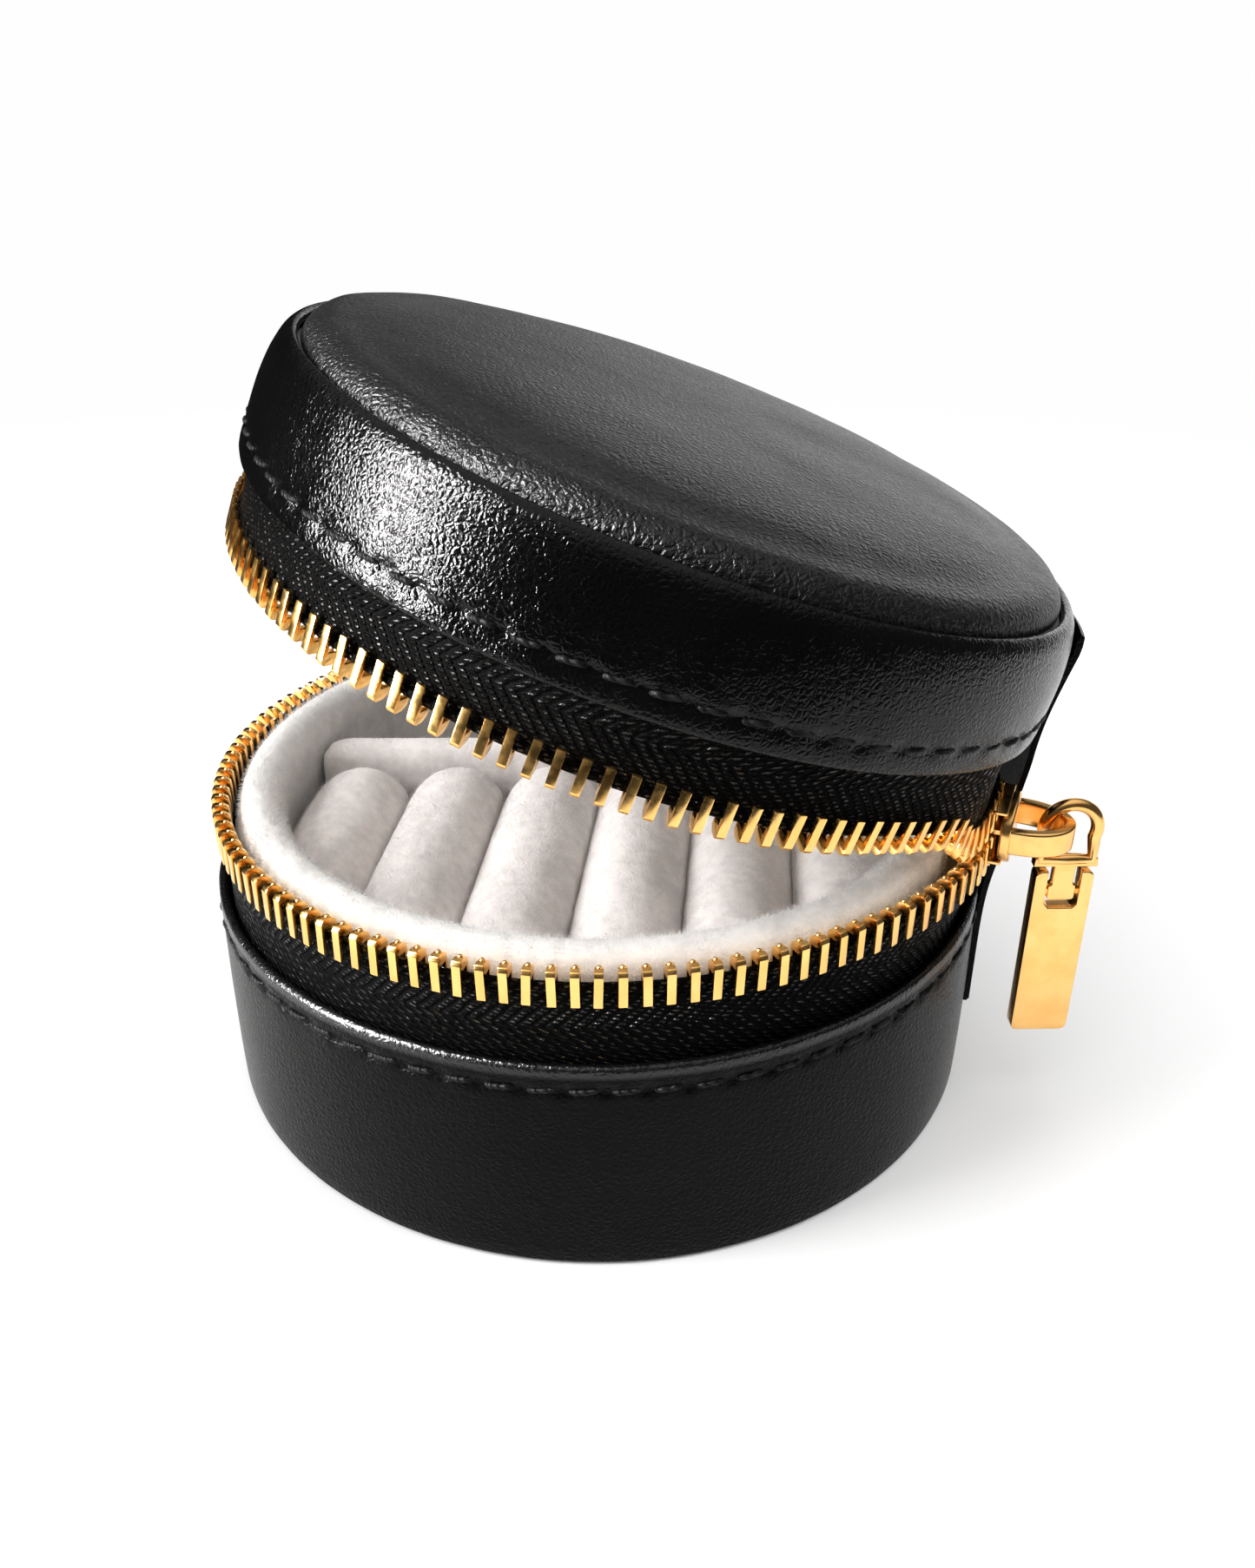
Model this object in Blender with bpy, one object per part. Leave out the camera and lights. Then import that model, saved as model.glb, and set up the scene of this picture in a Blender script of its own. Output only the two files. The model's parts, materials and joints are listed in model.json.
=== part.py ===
"""Round zipped jewelry case: leather tub and lid, velvet-lined, on a fabric hinge.

All lengths in the constants are millimetres and are turned into metres when vertices are made.
Frame: origin at the centre of the underside, +Z up, hinge on +Y, front of the case on -Y.
The lid is drawn closed and then turned open about the hinge line by LID_AJAR.
"""
import bpy
import bmesh
import math
from mathutils import Matrix, Vector

MM = 0.001
SEG = 48                 # facets in a full ring
HINGE_AZ = 90.0          # azimuth of the hinge, degrees from +X
LID_AJAR = 19.1          # how far the lid stands open at rest
HINGE_Y, HINGE_Z = 45.9, 34.5

# outer shell
R_OUT = 45.0             # outer radius of the leather tub
R_WALL_IN = 43.9
Z_TUB_TOP = 25.1
Z_SEAM = 22.3            # stitch line of the tub
Z_LID_EDGE = 45.0        # lower edge of the lid leather, lid closed
Z_LID_SEAM = 47.6
Z_LID_SHOULDER = 57.9
Z_LID_TOP = 62.0
# board shell behind the leather
R_BOARD_OUT, R_BOARD_IN = 42.6, 41.5
# zip
R_TAPE_IN, R_TAPE_OUT = 43.0, 43.5
R_TOOTH_IN, R_TOOTH_OUT = 42.5, 44.3
Z_ZIP = 35.75            # plane where the two rows of teeth meet
ZIP_SLIT = 0.55          # each row stops this far from that plane
Z_TAPE_LOW_TOP = 31.1
TEETH_PER_TURN = 127
ZIP_START = 20.0         # the lower row starts this far round from the hinge
UPPER_START = 40.0       # the upper row's rigid stretch starts here
TAPE_START = 14.0
# velvet interior
R_RIM_IN, R_RIM_OUT = 37.4, 41.1
R_FILL = 36.9            # radius the interior fittings are cut to
Z_FLOOR = 3.5
ROLL_PITCH, ROLL_HALF = 11.8, 5.7
ROLL_LEAN, X_LEAN = 0.12, -5.0          # sideways drift of the rolls per mm forward, none at X_LEAN
Z_PAD_TOP, Z_ROLL_TOP = 16.0, 31.0
X_ROLL_BACK = -9.1
X_DIV_FRONT, X_DIV_BACK = -9.5, -14.5
Z_DIV_TOP = 31.8
# hinge strap
STRAP_HALF_ANGLE = 18.0
R_STRAP_IN, R_STRAP_OUT = 45.3, 46.5
# slider and pull
SLIDER_FROM_HINGE = 23.0
SLIDER_HALF_L, SLIDER_HALF_H = 4.3, 3.3
R_SHIELD_IN, R_SHIELD_OUT = 46.9, 48.1      # outer plate of the slider
R_BACK_IN, R_BACK_OUT = 41.25, 41.95        # inner plate, behind the teeth
NECK_HALF_L, NECK_HALF_H = 2.4, 0.25
ARCH_FOOT, ARCH_REACH, ARCH_HALF_W, ARCH_T = 47.6, 54.0, 4.2, 1.1
ARCH_HALF_H = 1.25
# the pull hangs at this spot, flat to the X axis, loose on the arch
PULL_X, PULL_Y = 19.0, 50.0
SWING_IN = 0.7           # the arch's strip passes the link this far inside its middle
RING_HALF_W, RING_TOP, RING_BAR, RING_WIRE = 3.5, 38.9, 31.0, 1.2
STEM_HALF_W, FOOT_HALF_W, FOOT_HALF_H = 1.15, 1.5, 1.0
PIN_R, PIN_REACH, BORE_R, BORE_REACH = 0.45, 2.5, 0.6, 2.8
PIVOT_Z = 27.8
PLATE_HALF_W, PLATE_TOP, PLATE_BOTTOM, PLATE_HALF_T = 3.2, 30.6, 9.4, 0.9
NOTCH_HALF_W, NOTCH_DEPTH = 1.8, 4.6
LINK_HALF_T = 0.6


def clear_scene():
    for ob in list(bpy.data.objects):
        bpy.data.objects.remove(ob, do_unlink=True)


def material(name, rgb, rough, metal=0.0):
    mat = bpy.data.materials.new(name)
    mat.use_nodes = True
    node = mat.node_tree.nodes.get("Principled BSDF")
    node.inputs["Base Color"].default_value = (rgb[0], rgb[1], rgb[2], 1.0)
    node.inputs["Roughness"].default_value = rough
    node.inputs["Metallic"].default_value = metal
    mat.diffuse_color = (rgb[0], rgb[1], rgb[2], 1.0)
    return mat


LOOKS = {
    "leather": ((0.012, 0.012, 0.013), 0.42, 0.0),
    "tape": ((0.010, 0.010, 0.011), 0.85, 0.0),
    "gold": ((0.80, 0.60, 0.28), 0.25, 1.0),
    "velvet": ((0.62, 0.59, 0.57), 0.95, 0.0),
    "board": ((0.35, 0.33, 0.30), 0.90, 0.0),
    "foam": ((0.70, 0.68, 0.62), 0.95, 0.0),
    "thread": ((0.020, 0.020, 0.022), 0.70, 0.0),
}


def finish_mesh(name, bm, look, smooth_deg=38.0):
    """Weld, face outwards, shade round surfaces smooth and link the object."""
    bmesh.ops.remove_doubles(bm, verts=bm.verts, dist=1.0e-7)
    bmesh.ops.dissolve_degenerate(bm, edges=bm.edges, dist=1.0e-8)
    bmesh.ops.recalc_face_normals(bm, faces=bm.faces)
    for face in bm.faces:
        face.smooth = True
    for edge in bm.edges:
        edge.smooth = edge.calc_face_angle(0.0) < math.radians(smooth_deg)
    mesh = bpy.data.meshes.new(name)
    bm.to_mesh(mesh)
    bm.free()
    ob = bpy.data.objects.new(name, mesh)
    bpy.context.collection.objects.link(ob)
    rgb, rough, metal = LOOKS[look]
    mesh.materials.append(material(name + "_" + look, rgb, rough, metal))
    return ob


def from_rings(rings, wrap):
    """A tube of quads through equal-length rings of points, capped unless it closes on itself."""
    bm = bmesh.new()
    rows = [[bm.verts.new(Vector(p) * MM) for p in ring] for ring in rings]
    count = len(rows)
    size = len(rows[0])
    for i in range(count if wrap else count - 1):
        a, b = rows[i], rows[(i + 1) % count]
        for j in range(size):
            k = (j + 1) % size
            bm.faces.new((a[j], a[k], b[k], b[j]))
    if not wrap:
        caps = [bm.faces.new(rows[0]), bm.faces.new(list(reversed(rows[-1])))]
        bmesh.ops.triangulate(bm, faces=caps)
    return bm


def ring_at(profile, az):
    c, s = math.cos(math.radians(az)), math.sin(math.radians(az))
    return [(r * c, r * s, z) for r, z in profile]


def lathe(name, profile, look, smooth_deg=38.0):
    """Full turn of a closed (r, z) outline that keeps off the axis."""
    rings = [ring_at(profile, 360.0 * i / SEG) for i in range(SEG)]
    return finish_mesh(name, from_rings(rings, True), look, smooth_deg)


def lathe_solid(name, profile, look, smooth_deg=38.0):
    """Full turn of an open (r, z) line that starts and ends on the axis."""
    bm = bmesh.new()
    rows = []
    for i in range(SEG):
        pts = ring_at(profile[1:-1], 360.0 * i / SEG)
        rows.append([bm.verts.new(Vector(p) * MM) for p in pts])
    first = bm.verts.new(Vector((0.0, 0.0, profile[0][1])) * MM)
    last = bm.verts.new(Vector((0.0, 0.0, profile[-1][1])) * MM)
    for i in range(SEG):
        a, b = rows[i], rows[(i + 1) % SEG]
        bm.faces.new((first, a[0], b[0]))
        for j in range(len(a) - 1):
            bm.faces.new((a[j], a[j + 1], b[j + 1], b[j]))
        bm.faces.new((last, b[-1], a[-1]))
    return finish_mesh(name, bm, look, smooth_deg)


def arc_solid(name, profile, half_or_span, look, smooth_deg=38.0):
    """Part turn of a closed (r, z) outline, from one angle past the hinge to another."""
    start, stop = half_or_span
    steps = max(2, int(round(abs(stop - start) / (360.0 / SEG))))
    rings = [ring_at(profile, HINGE_AZ + start + (stop - start) * i / steps)
             for i in range(steps + 1)]
    return finish_mesh(name, from_rings(rings, False), look, smooth_deg)


def teeth_row(name, start, up):
    """One row of zip teeth on its cord, reaching up to the zip plane or down to it."""
    def place(z):
        return Z_ZIP - z if up else Z_ZIP + z
    tooth = [(R_TOOTH_IN, place(ZIP_SLIT)), (R_TOOTH_OUT, place(ZIP_SLIT)),
             (R_TOOTH_OUT, place(4.35)), (R_TOOTH_IN, place(4.35))]
    cord = [(R_TAPE_IN, place(1.5)), (R_TAPE_OUT + 0.2, place(1.5)),
            (R_TAPE_OUT + 0.2, place(4.35)), (R_TAPE_IN, place(4.35))]
    pitch = 360.0 / TEETH_PER_TURN
    count = int((360.0 - 2.0 * start) / pitch)
    first = HINGE_AZ + start + 0.5 * ((360.0 - 2.0 * start) - count * pitch)
    rings = []
    for i in range(count):
        az = first + i * pitch
        rings.append(ring_at(cord, az))
        rings.append(ring_at(tooth, az + 0.5 * pitch))
    rings.append(ring_at(cord, first + count * pitch))
    return finish_mesh(name, from_rings(rings, False), "gold", 20.0)


def end_x(y, inset):
    """Where a long edge of a leaning roll meets the round wall, less the inset."""
    slope = 1.0 + ROLL_LEAN ** 2
    start = y + ROLL_LEAN * X_LEAN
    return (start * ROLL_LEAN + math.sqrt(slope * R_FILL ** 2 - start ** 2)) / slope - inset


END_STEPS = ((0.0, 0.80), (0.7, 0.94), (2.2, 1.0))


def ring_roll(name, y_mid):
    """One velvet roll: flat under, half-round on top, its front end cut to the round wall."""
    tall = Z_ROLL_TOP - Z_PAD_TOP - 0.3
    base = Z_PAD_TOP + 0.3
    side = tall - ROLL_HALF
    arch = [(ROLL_HALF * math.cos(math.radians(a)), side + ROLL_HALF * math.sin(math.radians(a)))
            for a in (0.0, 25.0, 50.0, 72.0, 90.0, 108.0, 130.0, 155.0, 180.0)]
    section = [(-ROLL_HALF + 0.8, 0.0), (ROLL_HALF - 0.8, 0.0), (ROLL_HALF, 0.8)] + arch
    section += [(-ROLL_HALF, 0.8)]
    mid_z = 0.5 * tall

    def place(x, y, z, scale):
        return x, y - ROLL_LEAN * (x - X_LEAN), base + mid_z + (z - mid_z) * scale
    rings = []
    for inset, scale in END_STEPS:
        rings.append([place(X_ROLL_BACK + inset, y_mid + y * scale, z, scale) for y, z in section])
    for inset, scale in reversed(END_STEPS):
        rings.append([place(end_x(y_mid + y * scale, inset), y_mid + y * scale, z, scale)
                      for y, z in section])
    return finish_mesh(name, from_rings(rings, False), "velvet", 50.0)


def divider():
    """Flat-topped padded bar across the case between the rolls and the rear compartment."""
    half = 0.5 * (X_DIV_FRONT - X_DIV_BACK)
    mid = 0.5 * (X_DIV_FRONT + X_DIV_BACK)
    low = Z_FLOOR + 0.4
    top = Z_DIV_TOP
    section = [(-half, low), (half, low), (half, top - 1.7), (half - 0.5, top - 0.6),
               (half - 1.7, top), (0.0, top + 0.1), (-half + 1.7, top), (-half + 0.5, top - 0.6),
               (-half, top - 1.7)]
    mid_z = 0.5 * (low + top)

    def row(side, inset, scale):
        pts = []
        for x, z in section:
            px = mid + x * scale
            reach = math.sqrt(R_FILL ** 2 - px ** 2) - inset
            pts.append((px, side * reach, mid_z + (z - mid_z) * (0.5 + 0.5 * scale)))
        return pts
    steps = ((0.0, 0.9), (0.6, 0.98), (1.8, 1.0))
    rings = [row(-1.0, i, s) for i, s in steps]
    rings += [row(1.0, i, s) for i, s in reversed(steps)]
    return finish_mesh("compartment_divider", from_rings(rings, False), "velvet", 50.0)


def pad_block():
    """Foam block the rolls are glued to: a slab cut to the round wall."""
    back = X_ROLL_BACK
    a0 = math.degrees(math.acos(back / R_FILL))
    pts = [(R_FILL * math.cos(math.radians(a)), R_FILL * math.sin(math.radians(a)))
           for a in [-a0 + 2.0 * a0 * i / 30.0 for i in range(31)]]
    low = [(x, y, Z_FLOOR + 0.4) for x, y in pts]
    high = [(x, y, Z_PAD_TOP) for x, y in pts]
    return finish_mesh("ring_pad_base", from_rings([low, high], False), "foam", 30.0)


def extrude_outline(outer, hole, place, half_t):
    """Plate of a flat outline, with or without a hole; place maps (u, v, t) to a point."""
    bm = bmesh.new()
    layers = []
    for t in (-half_t, half_t):
        loops = []
        for loop in (outer, hole):
            if loop:
                loops.append([bm.verts.new(Vector(place(u, v, t)) * MM) for u, v in loop])
        edges = []
        for verts in loops:
            for i in range(len(verts)):
                edges.append(bm.edges.new((verts[i], verts[(i + 1) % len(verts)])))
        bmesh.ops.triangle_fill(bm, use_beauty=True, use_dissolve=False, edges=edges)
        layers.append(loops)
    for low, high in zip(layers[0], layers[1]):
        for i in range(len(low)):
            k = (i + 1) % len(low)
            bm.faces.new((low[i], low[k], high[k], high[i]))
    bmesh.ops.recalc_face_normals(bm, faces=bm.faces)
    return bm


def boxed(u0, u1, t0, t1, z0, z1):
    outline = [(u0, t0), (u1, t0), (u1, t1), (u0, t1)]
    mid, half = 0.5 * (z0 + z1), 0.5 * (z1 - z0)
    return extrude_outline(outline, None, lambda u, v, t: (u, v, mid + t), half)


def raw_object(name, bm):
    mesh = bpy.data.meshes.new(name)
    bm.to_mesh(mesh)
    bm.free()
    ob = bpy.data.objects.new(name, mesh)
    bpy.context.collection.objects.link(ob)
    return ob


def combine(base, tools, operation):
    """Exact Boolean of one object with others, which are removed afterwards."""
    for tool in tools:
        tool.hide_render = True
        tool.display_type = 'WIRE'
        mod = base.modifiers.new("cut", 'BOOLEAN')
        mod.operation = operation
        mod.solver = 'EXACT'
        mod.object = tool
        graph = bpy.context.evaluated_depsgraph_get()
        mesh = bpy.data.meshes.new_from_object(base.evaluated_get(graph))
        base.modifiers.clear()
        base.data = mesh
        bpy.data.objects.remove(tool, do_unlink=True)
    return base


def settle(name, ob, look, smooth_deg=35.0):
    bm = bmesh.new()
    bm.from_mesh(ob.data)
    bpy.data.objects.remove(ob, do_unlink=True)
    bmesh.ops.remove_doubles(bm, verts=bm.verts, dist=1.0e-6)
    return finish_mesh(name, bm, look, smooth_deg)


def rounded(outline_w, low, high, radius, steps=5):
    """Rounded rectangle outline about u = 0."""
    pts = []
    corners = ((outline_w, low, -90.0), (outline_w, high, 0.0),
               (-outline_w, high, 90.0), (-outline_w, low, 180.0))
    for cx, cy, start in corners:
        ox = cx - math.copysign(radius, cx)
        oy = cy + (radius if cy == low else -radius)
        for i in range(steps + 1):
            a = math.radians(start + 90.0 * i / steps)
            pts.append((ox + radius * math.cos(a), oy + radius * math.sin(a)))
    return pts


def build_slider():
    """Outer plate, inner plate, the thin neck between the two rows, and the arch for the pull."""
    long, tall = SLIDER_HALF_L, SLIDER_HALF_H
    shield = [(-long, 1.0 - tall), (-0.6 * long, -tall), (0.6 * long, -tall), (long, 1.0 - tall),
              (long, tall - 1.0), (0.6 * long, tall), (-0.6 * long, tall), (-long, tall - 1.0)]
    shield_r = 0.5 * (R_SHIELD_IN + R_SHIELD_OUT)
    back_r = 0.5 * (R_BACK_IN + R_BACK_OUT)
    outer = extrude_outline(shield, None, lambda u, v, t: (shield_r + t, u, Z_ZIP + v),
                            R_SHIELD_OUT - shield_r)
    inner = extrude_outline(shield, None, lambda u, v, t: (back_r + t, 0.78 * u, Z_ZIP + 0.94 * v),
                            R_BACK_OUT - back_r)
    neck = boxed(R_BACK_IN + 0.25, R_SHIELD_IN + 0.3, -NECK_HALF_L, NECK_HALF_L,
                 Z_ZIP - NECK_HALF_H, Z_ZIP + NECK_HALF_H)
    reach, half = ARCH_REACH - ARCH_FOOT, ARCH_HALF_W
    turn = [math.radians(-90.0 + 180.0 * i / 12.0) for i in range(13)]
    arch = [(ARCH_FOOT + reach * math.cos(a), half * math.sin(a)) for a in turn]
    arch += [(ARCH_FOOT + (reach - ARCH_T) * math.cos(a), (half - ARCH_T) * math.sin(a))
             for a in reversed(turn)]
    loop = extrude_outline(arch, None, lambda u, v, t: (u, v, Z_ZIP + t), ARCH_HALF_H)
    body = raw_object("slider_raw", outer)
    parts = [raw_object("t%d" % i, bm) for i, bm in enumerate((inner, neck, loop))]
    return settle("slider_body", combine(body, parts, 'UNION'), "gold")


def upright(u, v, t):
    """Puts a flat outline in the upright plane that holds the pull."""
    return (u, t, v)


def cross_pin(radius, reach, segments=12):
    rings = []
    for u in (-reach, reach):
        rings.append([(u, radius * math.cos(2.0 * math.pi * i / segments),
                       PIVOT_Z + radius * math.sin(2.0 * math.pi * i / segments))
                      for i in range(segments)])
    bm = from_rings(rings, False)
    bmesh.ops.recalc_face_normals(bm, faces=bm.faces)
    return raw_object("pin", bm)


def build_pull_link():
    """D-shaped ring through the arch with a stem and a T-shaped foot that carries two pins."""
    wide, stem, foot, tall = RING_HALF_W, STEM_HALF_W, FOOT_HALF_W, FOOT_HALF_H
    outer = [(stem, RING_BAR), (wide - 0.5, RING_BAR), (wide, RING_BAR + 0.5)]
    outer += [p for p in rounded(wide, RING_BAR, RING_TOP, 3.2) if p[1] > RING_BAR + 3.3]
    outer += [(-wide, RING_BAR + 0.5), (-wide + 0.5, RING_BAR), (-stem, RING_BAR)]
    outer += [(-stem, PIVOT_Z + tall), (-foot, PIVOT_Z + tall - 0.2), (-foot, PIVOT_Z - tall + 0.2),
              (-foot + 0.3, PIVOT_Z - tall), (foot - 0.3, PIVOT_Z - tall),
              (foot, PIVOT_Z - tall + 0.2), (foot, PIVOT_Z + tall - 0.2), (stem, PIVOT_Z + tall)]
    hole = [(u * (wide - RING_WIRE) / wide, v) for u, v in
            rounded(wide, RING_BAR + RING_WIRE, RING_TOP - RING_WIRE, 2.2)]
    ring = raw_object("link_raw", extrude_outline(outer, hole, upright, LINK_HALF_T))
    return settle("pull_link", combine(ring, [cross_pin(PIN_R, PIN_REACH)], 'UNION'), "gold")


def build_pull_plate():
    """Long flat tab with a notch at its top; the notch's cheeks take the link's two pins."""
    w, top, low = PLATE_HALF_W, PLATE_TOP, PLATE_BOTTOM
    notch, floor = NOTCH_HALF_W, PLATE_TOP - NOTCH_DEPTH
    outline = [(-w + 0.4, low), (w - 0.4, low), (w, low + 0.4), (w, top - 0.5), (w - 0.5, top),
               (notch, top), (notch, floor), (-notch, floor), (-notch, top), (-w + 0.5, top),
               (-w, top - 0.5), (-w, low + 0.4)]
    tab = raw_object("plate_raw", extrude_outline(outline, None, upright, PLATE_HALF_T))
    bore = cross_pin(BORE_R, BORE_REACH)
    return settle("pull_plate", combine(tab, [bore], 'DIFFERENCE'), "gold")


def build_tub():
    wall = [(44.15, 0.4), (44.6, 0.7), (44.95, 1.8), (R_OUT, 4.0), (R_OUT, Z_SEAM - 0.7),
            (44.5, Z_SEAM - 0.3), (44.5, Z_SEAM + 0.3), (R_OUT, Z_SEAM + 0.7),
            (R_OUT, Z_TUB_TOP - 0.9), (44.75, Z_TUB_TOP - 0.2), (44.4, Z_TUB_TOP),
            (R_WALL_IN, Z_TUB_TOP - 0.4), (R_WALL_IN, 0.6)]
    lathe("base_side_wall", wall, "leather")
    lathe_solid("base_bottom_panel", [(0, 0.9), (43.2, 0.9), (43.5, 0.6), (43.2, 0.0), (0, 0.0)],
                "leather", 30.0)
    cup = [(0, 2.4), (R_BOARD_IN, 2.4), (R_BOARD_IN, 30.0), (R_BOARD_OUT, 30.0),
           (R_BOARD_OUT, 1.3), (0, 1.3)]
    lathe_solid("base_board_shell", cup, "board", 30.0)
    seam = [(44.97, Z_SEAM - 0.2), (45.17, Z_SEAM), (44.97, Z_SEAM + 0.2), (44.77, Z_SEAM)]
    lathe("base_edge_stitching", seam, "thread", 100.0)
    rim = [(R_RIM_IN, 2.8), (R_RIM_OUT, 2.8), (R_RIM_OUT, 30.3), (40.8, 31.4), (40.7, 33.6),
           (40.2, 34.9), (39.3, 35.5), (38.3, 35.2), (37.5, 34.1), (37.2, 32.0)]
    lathe("base_rim_padding", rim, "velvet", 60.0)
    lathe_solid("base_floor_lining", [(0, Z_FLOOR), (R_FILL, Z_FLOOR), (R_FILL, 2.8), (0, 2.8)],
                "velvet", 30.0)
    pad_block()
    for i in range(6):
        ring_roll("ring_roll_%d" % (i + 1), (i - 2.5) * ROLL_PITCH)
    divider()


def build_zip_and_hinge():
    """Lower pieces first; the pieces that belong to the lid are returned."""
    tape = [(R_TAPE_IN, 18.0), (R_TAPE_OUT, 18.0), (R_TAPE_OUT, Z_TAPE_LOW_TOP),
            (R_TAPE_IN, Z_TAPE_LOW_TOP)]
    arc_solid("lower_zip_tape", tape, (TAPE_START, 360.0 - TAPE_START), "tape")
    teeth_row("lower_zip_teeth", ZIP_START, True)
    strap = [(R_STRAP_IN, 8.5), (R_STRAP_OUT - 0.3, 8.5), (R_STRAP_OUT, 9.0),
             (R_STRAP_OUT, HINGE_Z - 1.0), (R_STRAP_IN, HINGE_Z - 1.0)]
    span = (-STRAP_HALF_ANGLE, STRAP_HALF_ANGLE)
    arc_solid("hinge_strap_lower", strap, span, "leather")
    lining = [(R_TAPE_IN, 20.0), (R_TAPE_OUT, 20.0), (R_TAPE_OUT, HINGE_Z - 1.0),
              (R_TAPE_IN, HINGE_Z - 1.0)]
    arc_solid("hinge_lining_lower", lining, (-13.0, 13.0), "tape")

    top_tape = [(R_TAPE_IN, 40.4), (R_TAPE_OUT, 40.4), (R_TAPE_OUT, 50.0), (R_TAPE_IN, 50.0)]
    lid = [arc_solid("upper_zip_tape", top_tape, (UPPER_START, 360.0 - UPPER_START), "tape"),
           teeth_row("upper_zip_teeth", UPPER_START, False)]
    strap = [(R_STRAP_IN, HINGE_Z + 1.0), (R_STRAP_OUT, HINGE_Z + 1.0), (R_STRAP_OUT, 52.0),
             (45.9, 55.4), (45.3, 57.0), (44.6, 57.0), (44.8, 55.0), (R_STRAP_IN, 52.0)]
    lid.append(arc_solid("hinge_strap_upper", strap, span, "leather"))
    lining = [(R_TAPE_IN, HINGE_Z + 1.0), (R_TAPE_OUT, HINGE_Z + 1.0), (R_TAPE_OUT, 49.5),
              (R_TAPE_IN, 49.5)]
    lid.append(arc_solid("hinge_lining_upper", lining, (-13.0, 13.0), "tape"))
    return lid


def build_lid():
    s = Z_LID_SEAM
    wall = [(44.0, Z_LID_EDGE + 0.2), (44.5, Z_LID_EDGE), (44.9, Z_LID_EDGE + 0.4),
            (44.8, s - 0.7), (44.3, s - 0.3), (44.3, s + 0.3), (44.8, s + 0.7), (44.75, 51.0),
            (44.3, 55.0), (43.9, 56.8), (43.3, 57.7), (42.5, Z_LID_SHOULDER), (41.9, 57.4),
            (41.9, 56.7), (42.7, 56.3), (43.3, 54.2), (43.8, 50.6), (43.8, 45.8)]
    parts = [lathe("lid_side_wall", wall, "leather")]
    seam = [(44.77, s - 0.2), (44.97, s), (44.77, s + 0.2), (44.57, s)]
    parts.append(lathe("lid_edge_stitching", seam, "thread", 100.0))
    cap = [(0, Z_LID_TOP), (20.0, 61.85), (30.0, 61.5), (34.0, 61.0), (36.2, 60.3), (37.2, 60.2),
           (38.6, 60.3), (40.0, 59.7), (41.2, 58.5), (41.5, 57.4), (41.5, 56.6), (40.7, 56.6),
           (40.5, 58.1), (39.4, 59.0), (36.8, 59.2), (33.6, 60.0), (29.8, 60.5), (0, 60.9)]
    parts.append(lathe_solid("lid_top_panel", cap, "leather"))
    foam = [(0, 60.5), (29.0, 60.1), (33.0, 59.6), (36.5, 58.8), (39.2, 58.6), (40.2, 57.6),
            (40.2, 56.3), (0, 56.3)]
    parts.append(lathe_solid("lid_top_padding", foam, "foam"))
    cup = [(0, 55.9), (R_BOARD_OUT - 0.4, 55.9), (R_BOARD_OUT, 55.0), (R_BOARD_OUT, 41.6),
           (R_BOARD_IN, 41.6), (R_BOARD_IN, 54.6), (0, 54.6)]
    parts.append(lathe_solid("lid_board_shell", cup, "board", 30.0))
    rim = [(R_RIM_IN, 54.2), (R_RIM_IN - 0.1, 40.0), (37.6, 38.2), (38.3, 37.3), (39.0, 37.8),
           (39.7, 39.3), (40.4, 41.2), (R_RIM_OUT, 42.2), (R_RIM_OUT, 54.2)]
    parts.append(lathe("lid_rim_padding", rim, "velvet", 60.0))
    pad = [(0, 54.2), (R_FILL, 54.2), (R_FILL, 51.2), (35.6, 50.2), (33.0, 49.8), (0, 49.6)]
    parts.append(lathe_solid("lid_lining_pad", pad, "velvet"))
    return parts


def pivot(name, spot, parent=None):
    """An empty on a joint's axis; spot is where it stands while everything is drawn."""
    ob = bpy.data.objects.new(name, None)
    ob.empty_display_size = 5.0 * MM
    bpy.context.collection.objects.link(ob)
    shift = Vector(spot) * MM
    if parent:
        ob.parent = parent
        shift -= Vector(parent["drawn_at"])
    ob.location = shift
    ob["drawn_at"] = list(Vector(spot) * MM)
    return ob


def hang(parts, axis):
    """Moves each mesh onto its axis and makes the axis its parent."""
    for ob in parts:
        ob.data.transform(Matrix.Translation(-Vector(axis["drawn_at"])))
        ob.parent = axis


def main():
    clear_scene()
    build_tub()
    lid = build_zip_and_hinge() + build_lid()
    lid_axis = pivot("lid_hinge_axis", (0.0, HINGE_Y, HINGE_Z))
    hang(lid, lid_axis)
    lid_axis.rotation_euler.x = math.radians(-LID_AJAR)

    carrier = pivot("slider_axis", (0.0, 0.0, 0.0))
    swing = pivot("pull_swing_axis", (-SWING_IN, 0.0, Z_ZIP), carrier)
    tab_pin = pivot("plate_pin_axis", (0.0, 0.0, PIVOT_Z), swing)
    hang([build_slider()], carrier)
    hang([build_pull_link()], swing)
    hang([build_pull_plate()], tab_pin)
    turn = math.radians(HINGE_AZ - SLIDER_FROM_HINGE)
    spot = Vector((PULL_X, PULL_Y - SWING_IN, Z_ZIP)) * MM
    swing.location = Matrix.Rotation(-turn, 3, 'Z') @ spot
    swing.rotation_euler.z = math.radians(SLIDER_FROM_HINGE)
    carrier.rotation_euler.z = turn


main()
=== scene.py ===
"""Looks of the round zipped jewelry case. Lengths are drawn in millimetres and multiplied by MM."""
import bpy
import bmesh
import json
import math
import random
from mathutils import Matrix, Vector, noise


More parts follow.
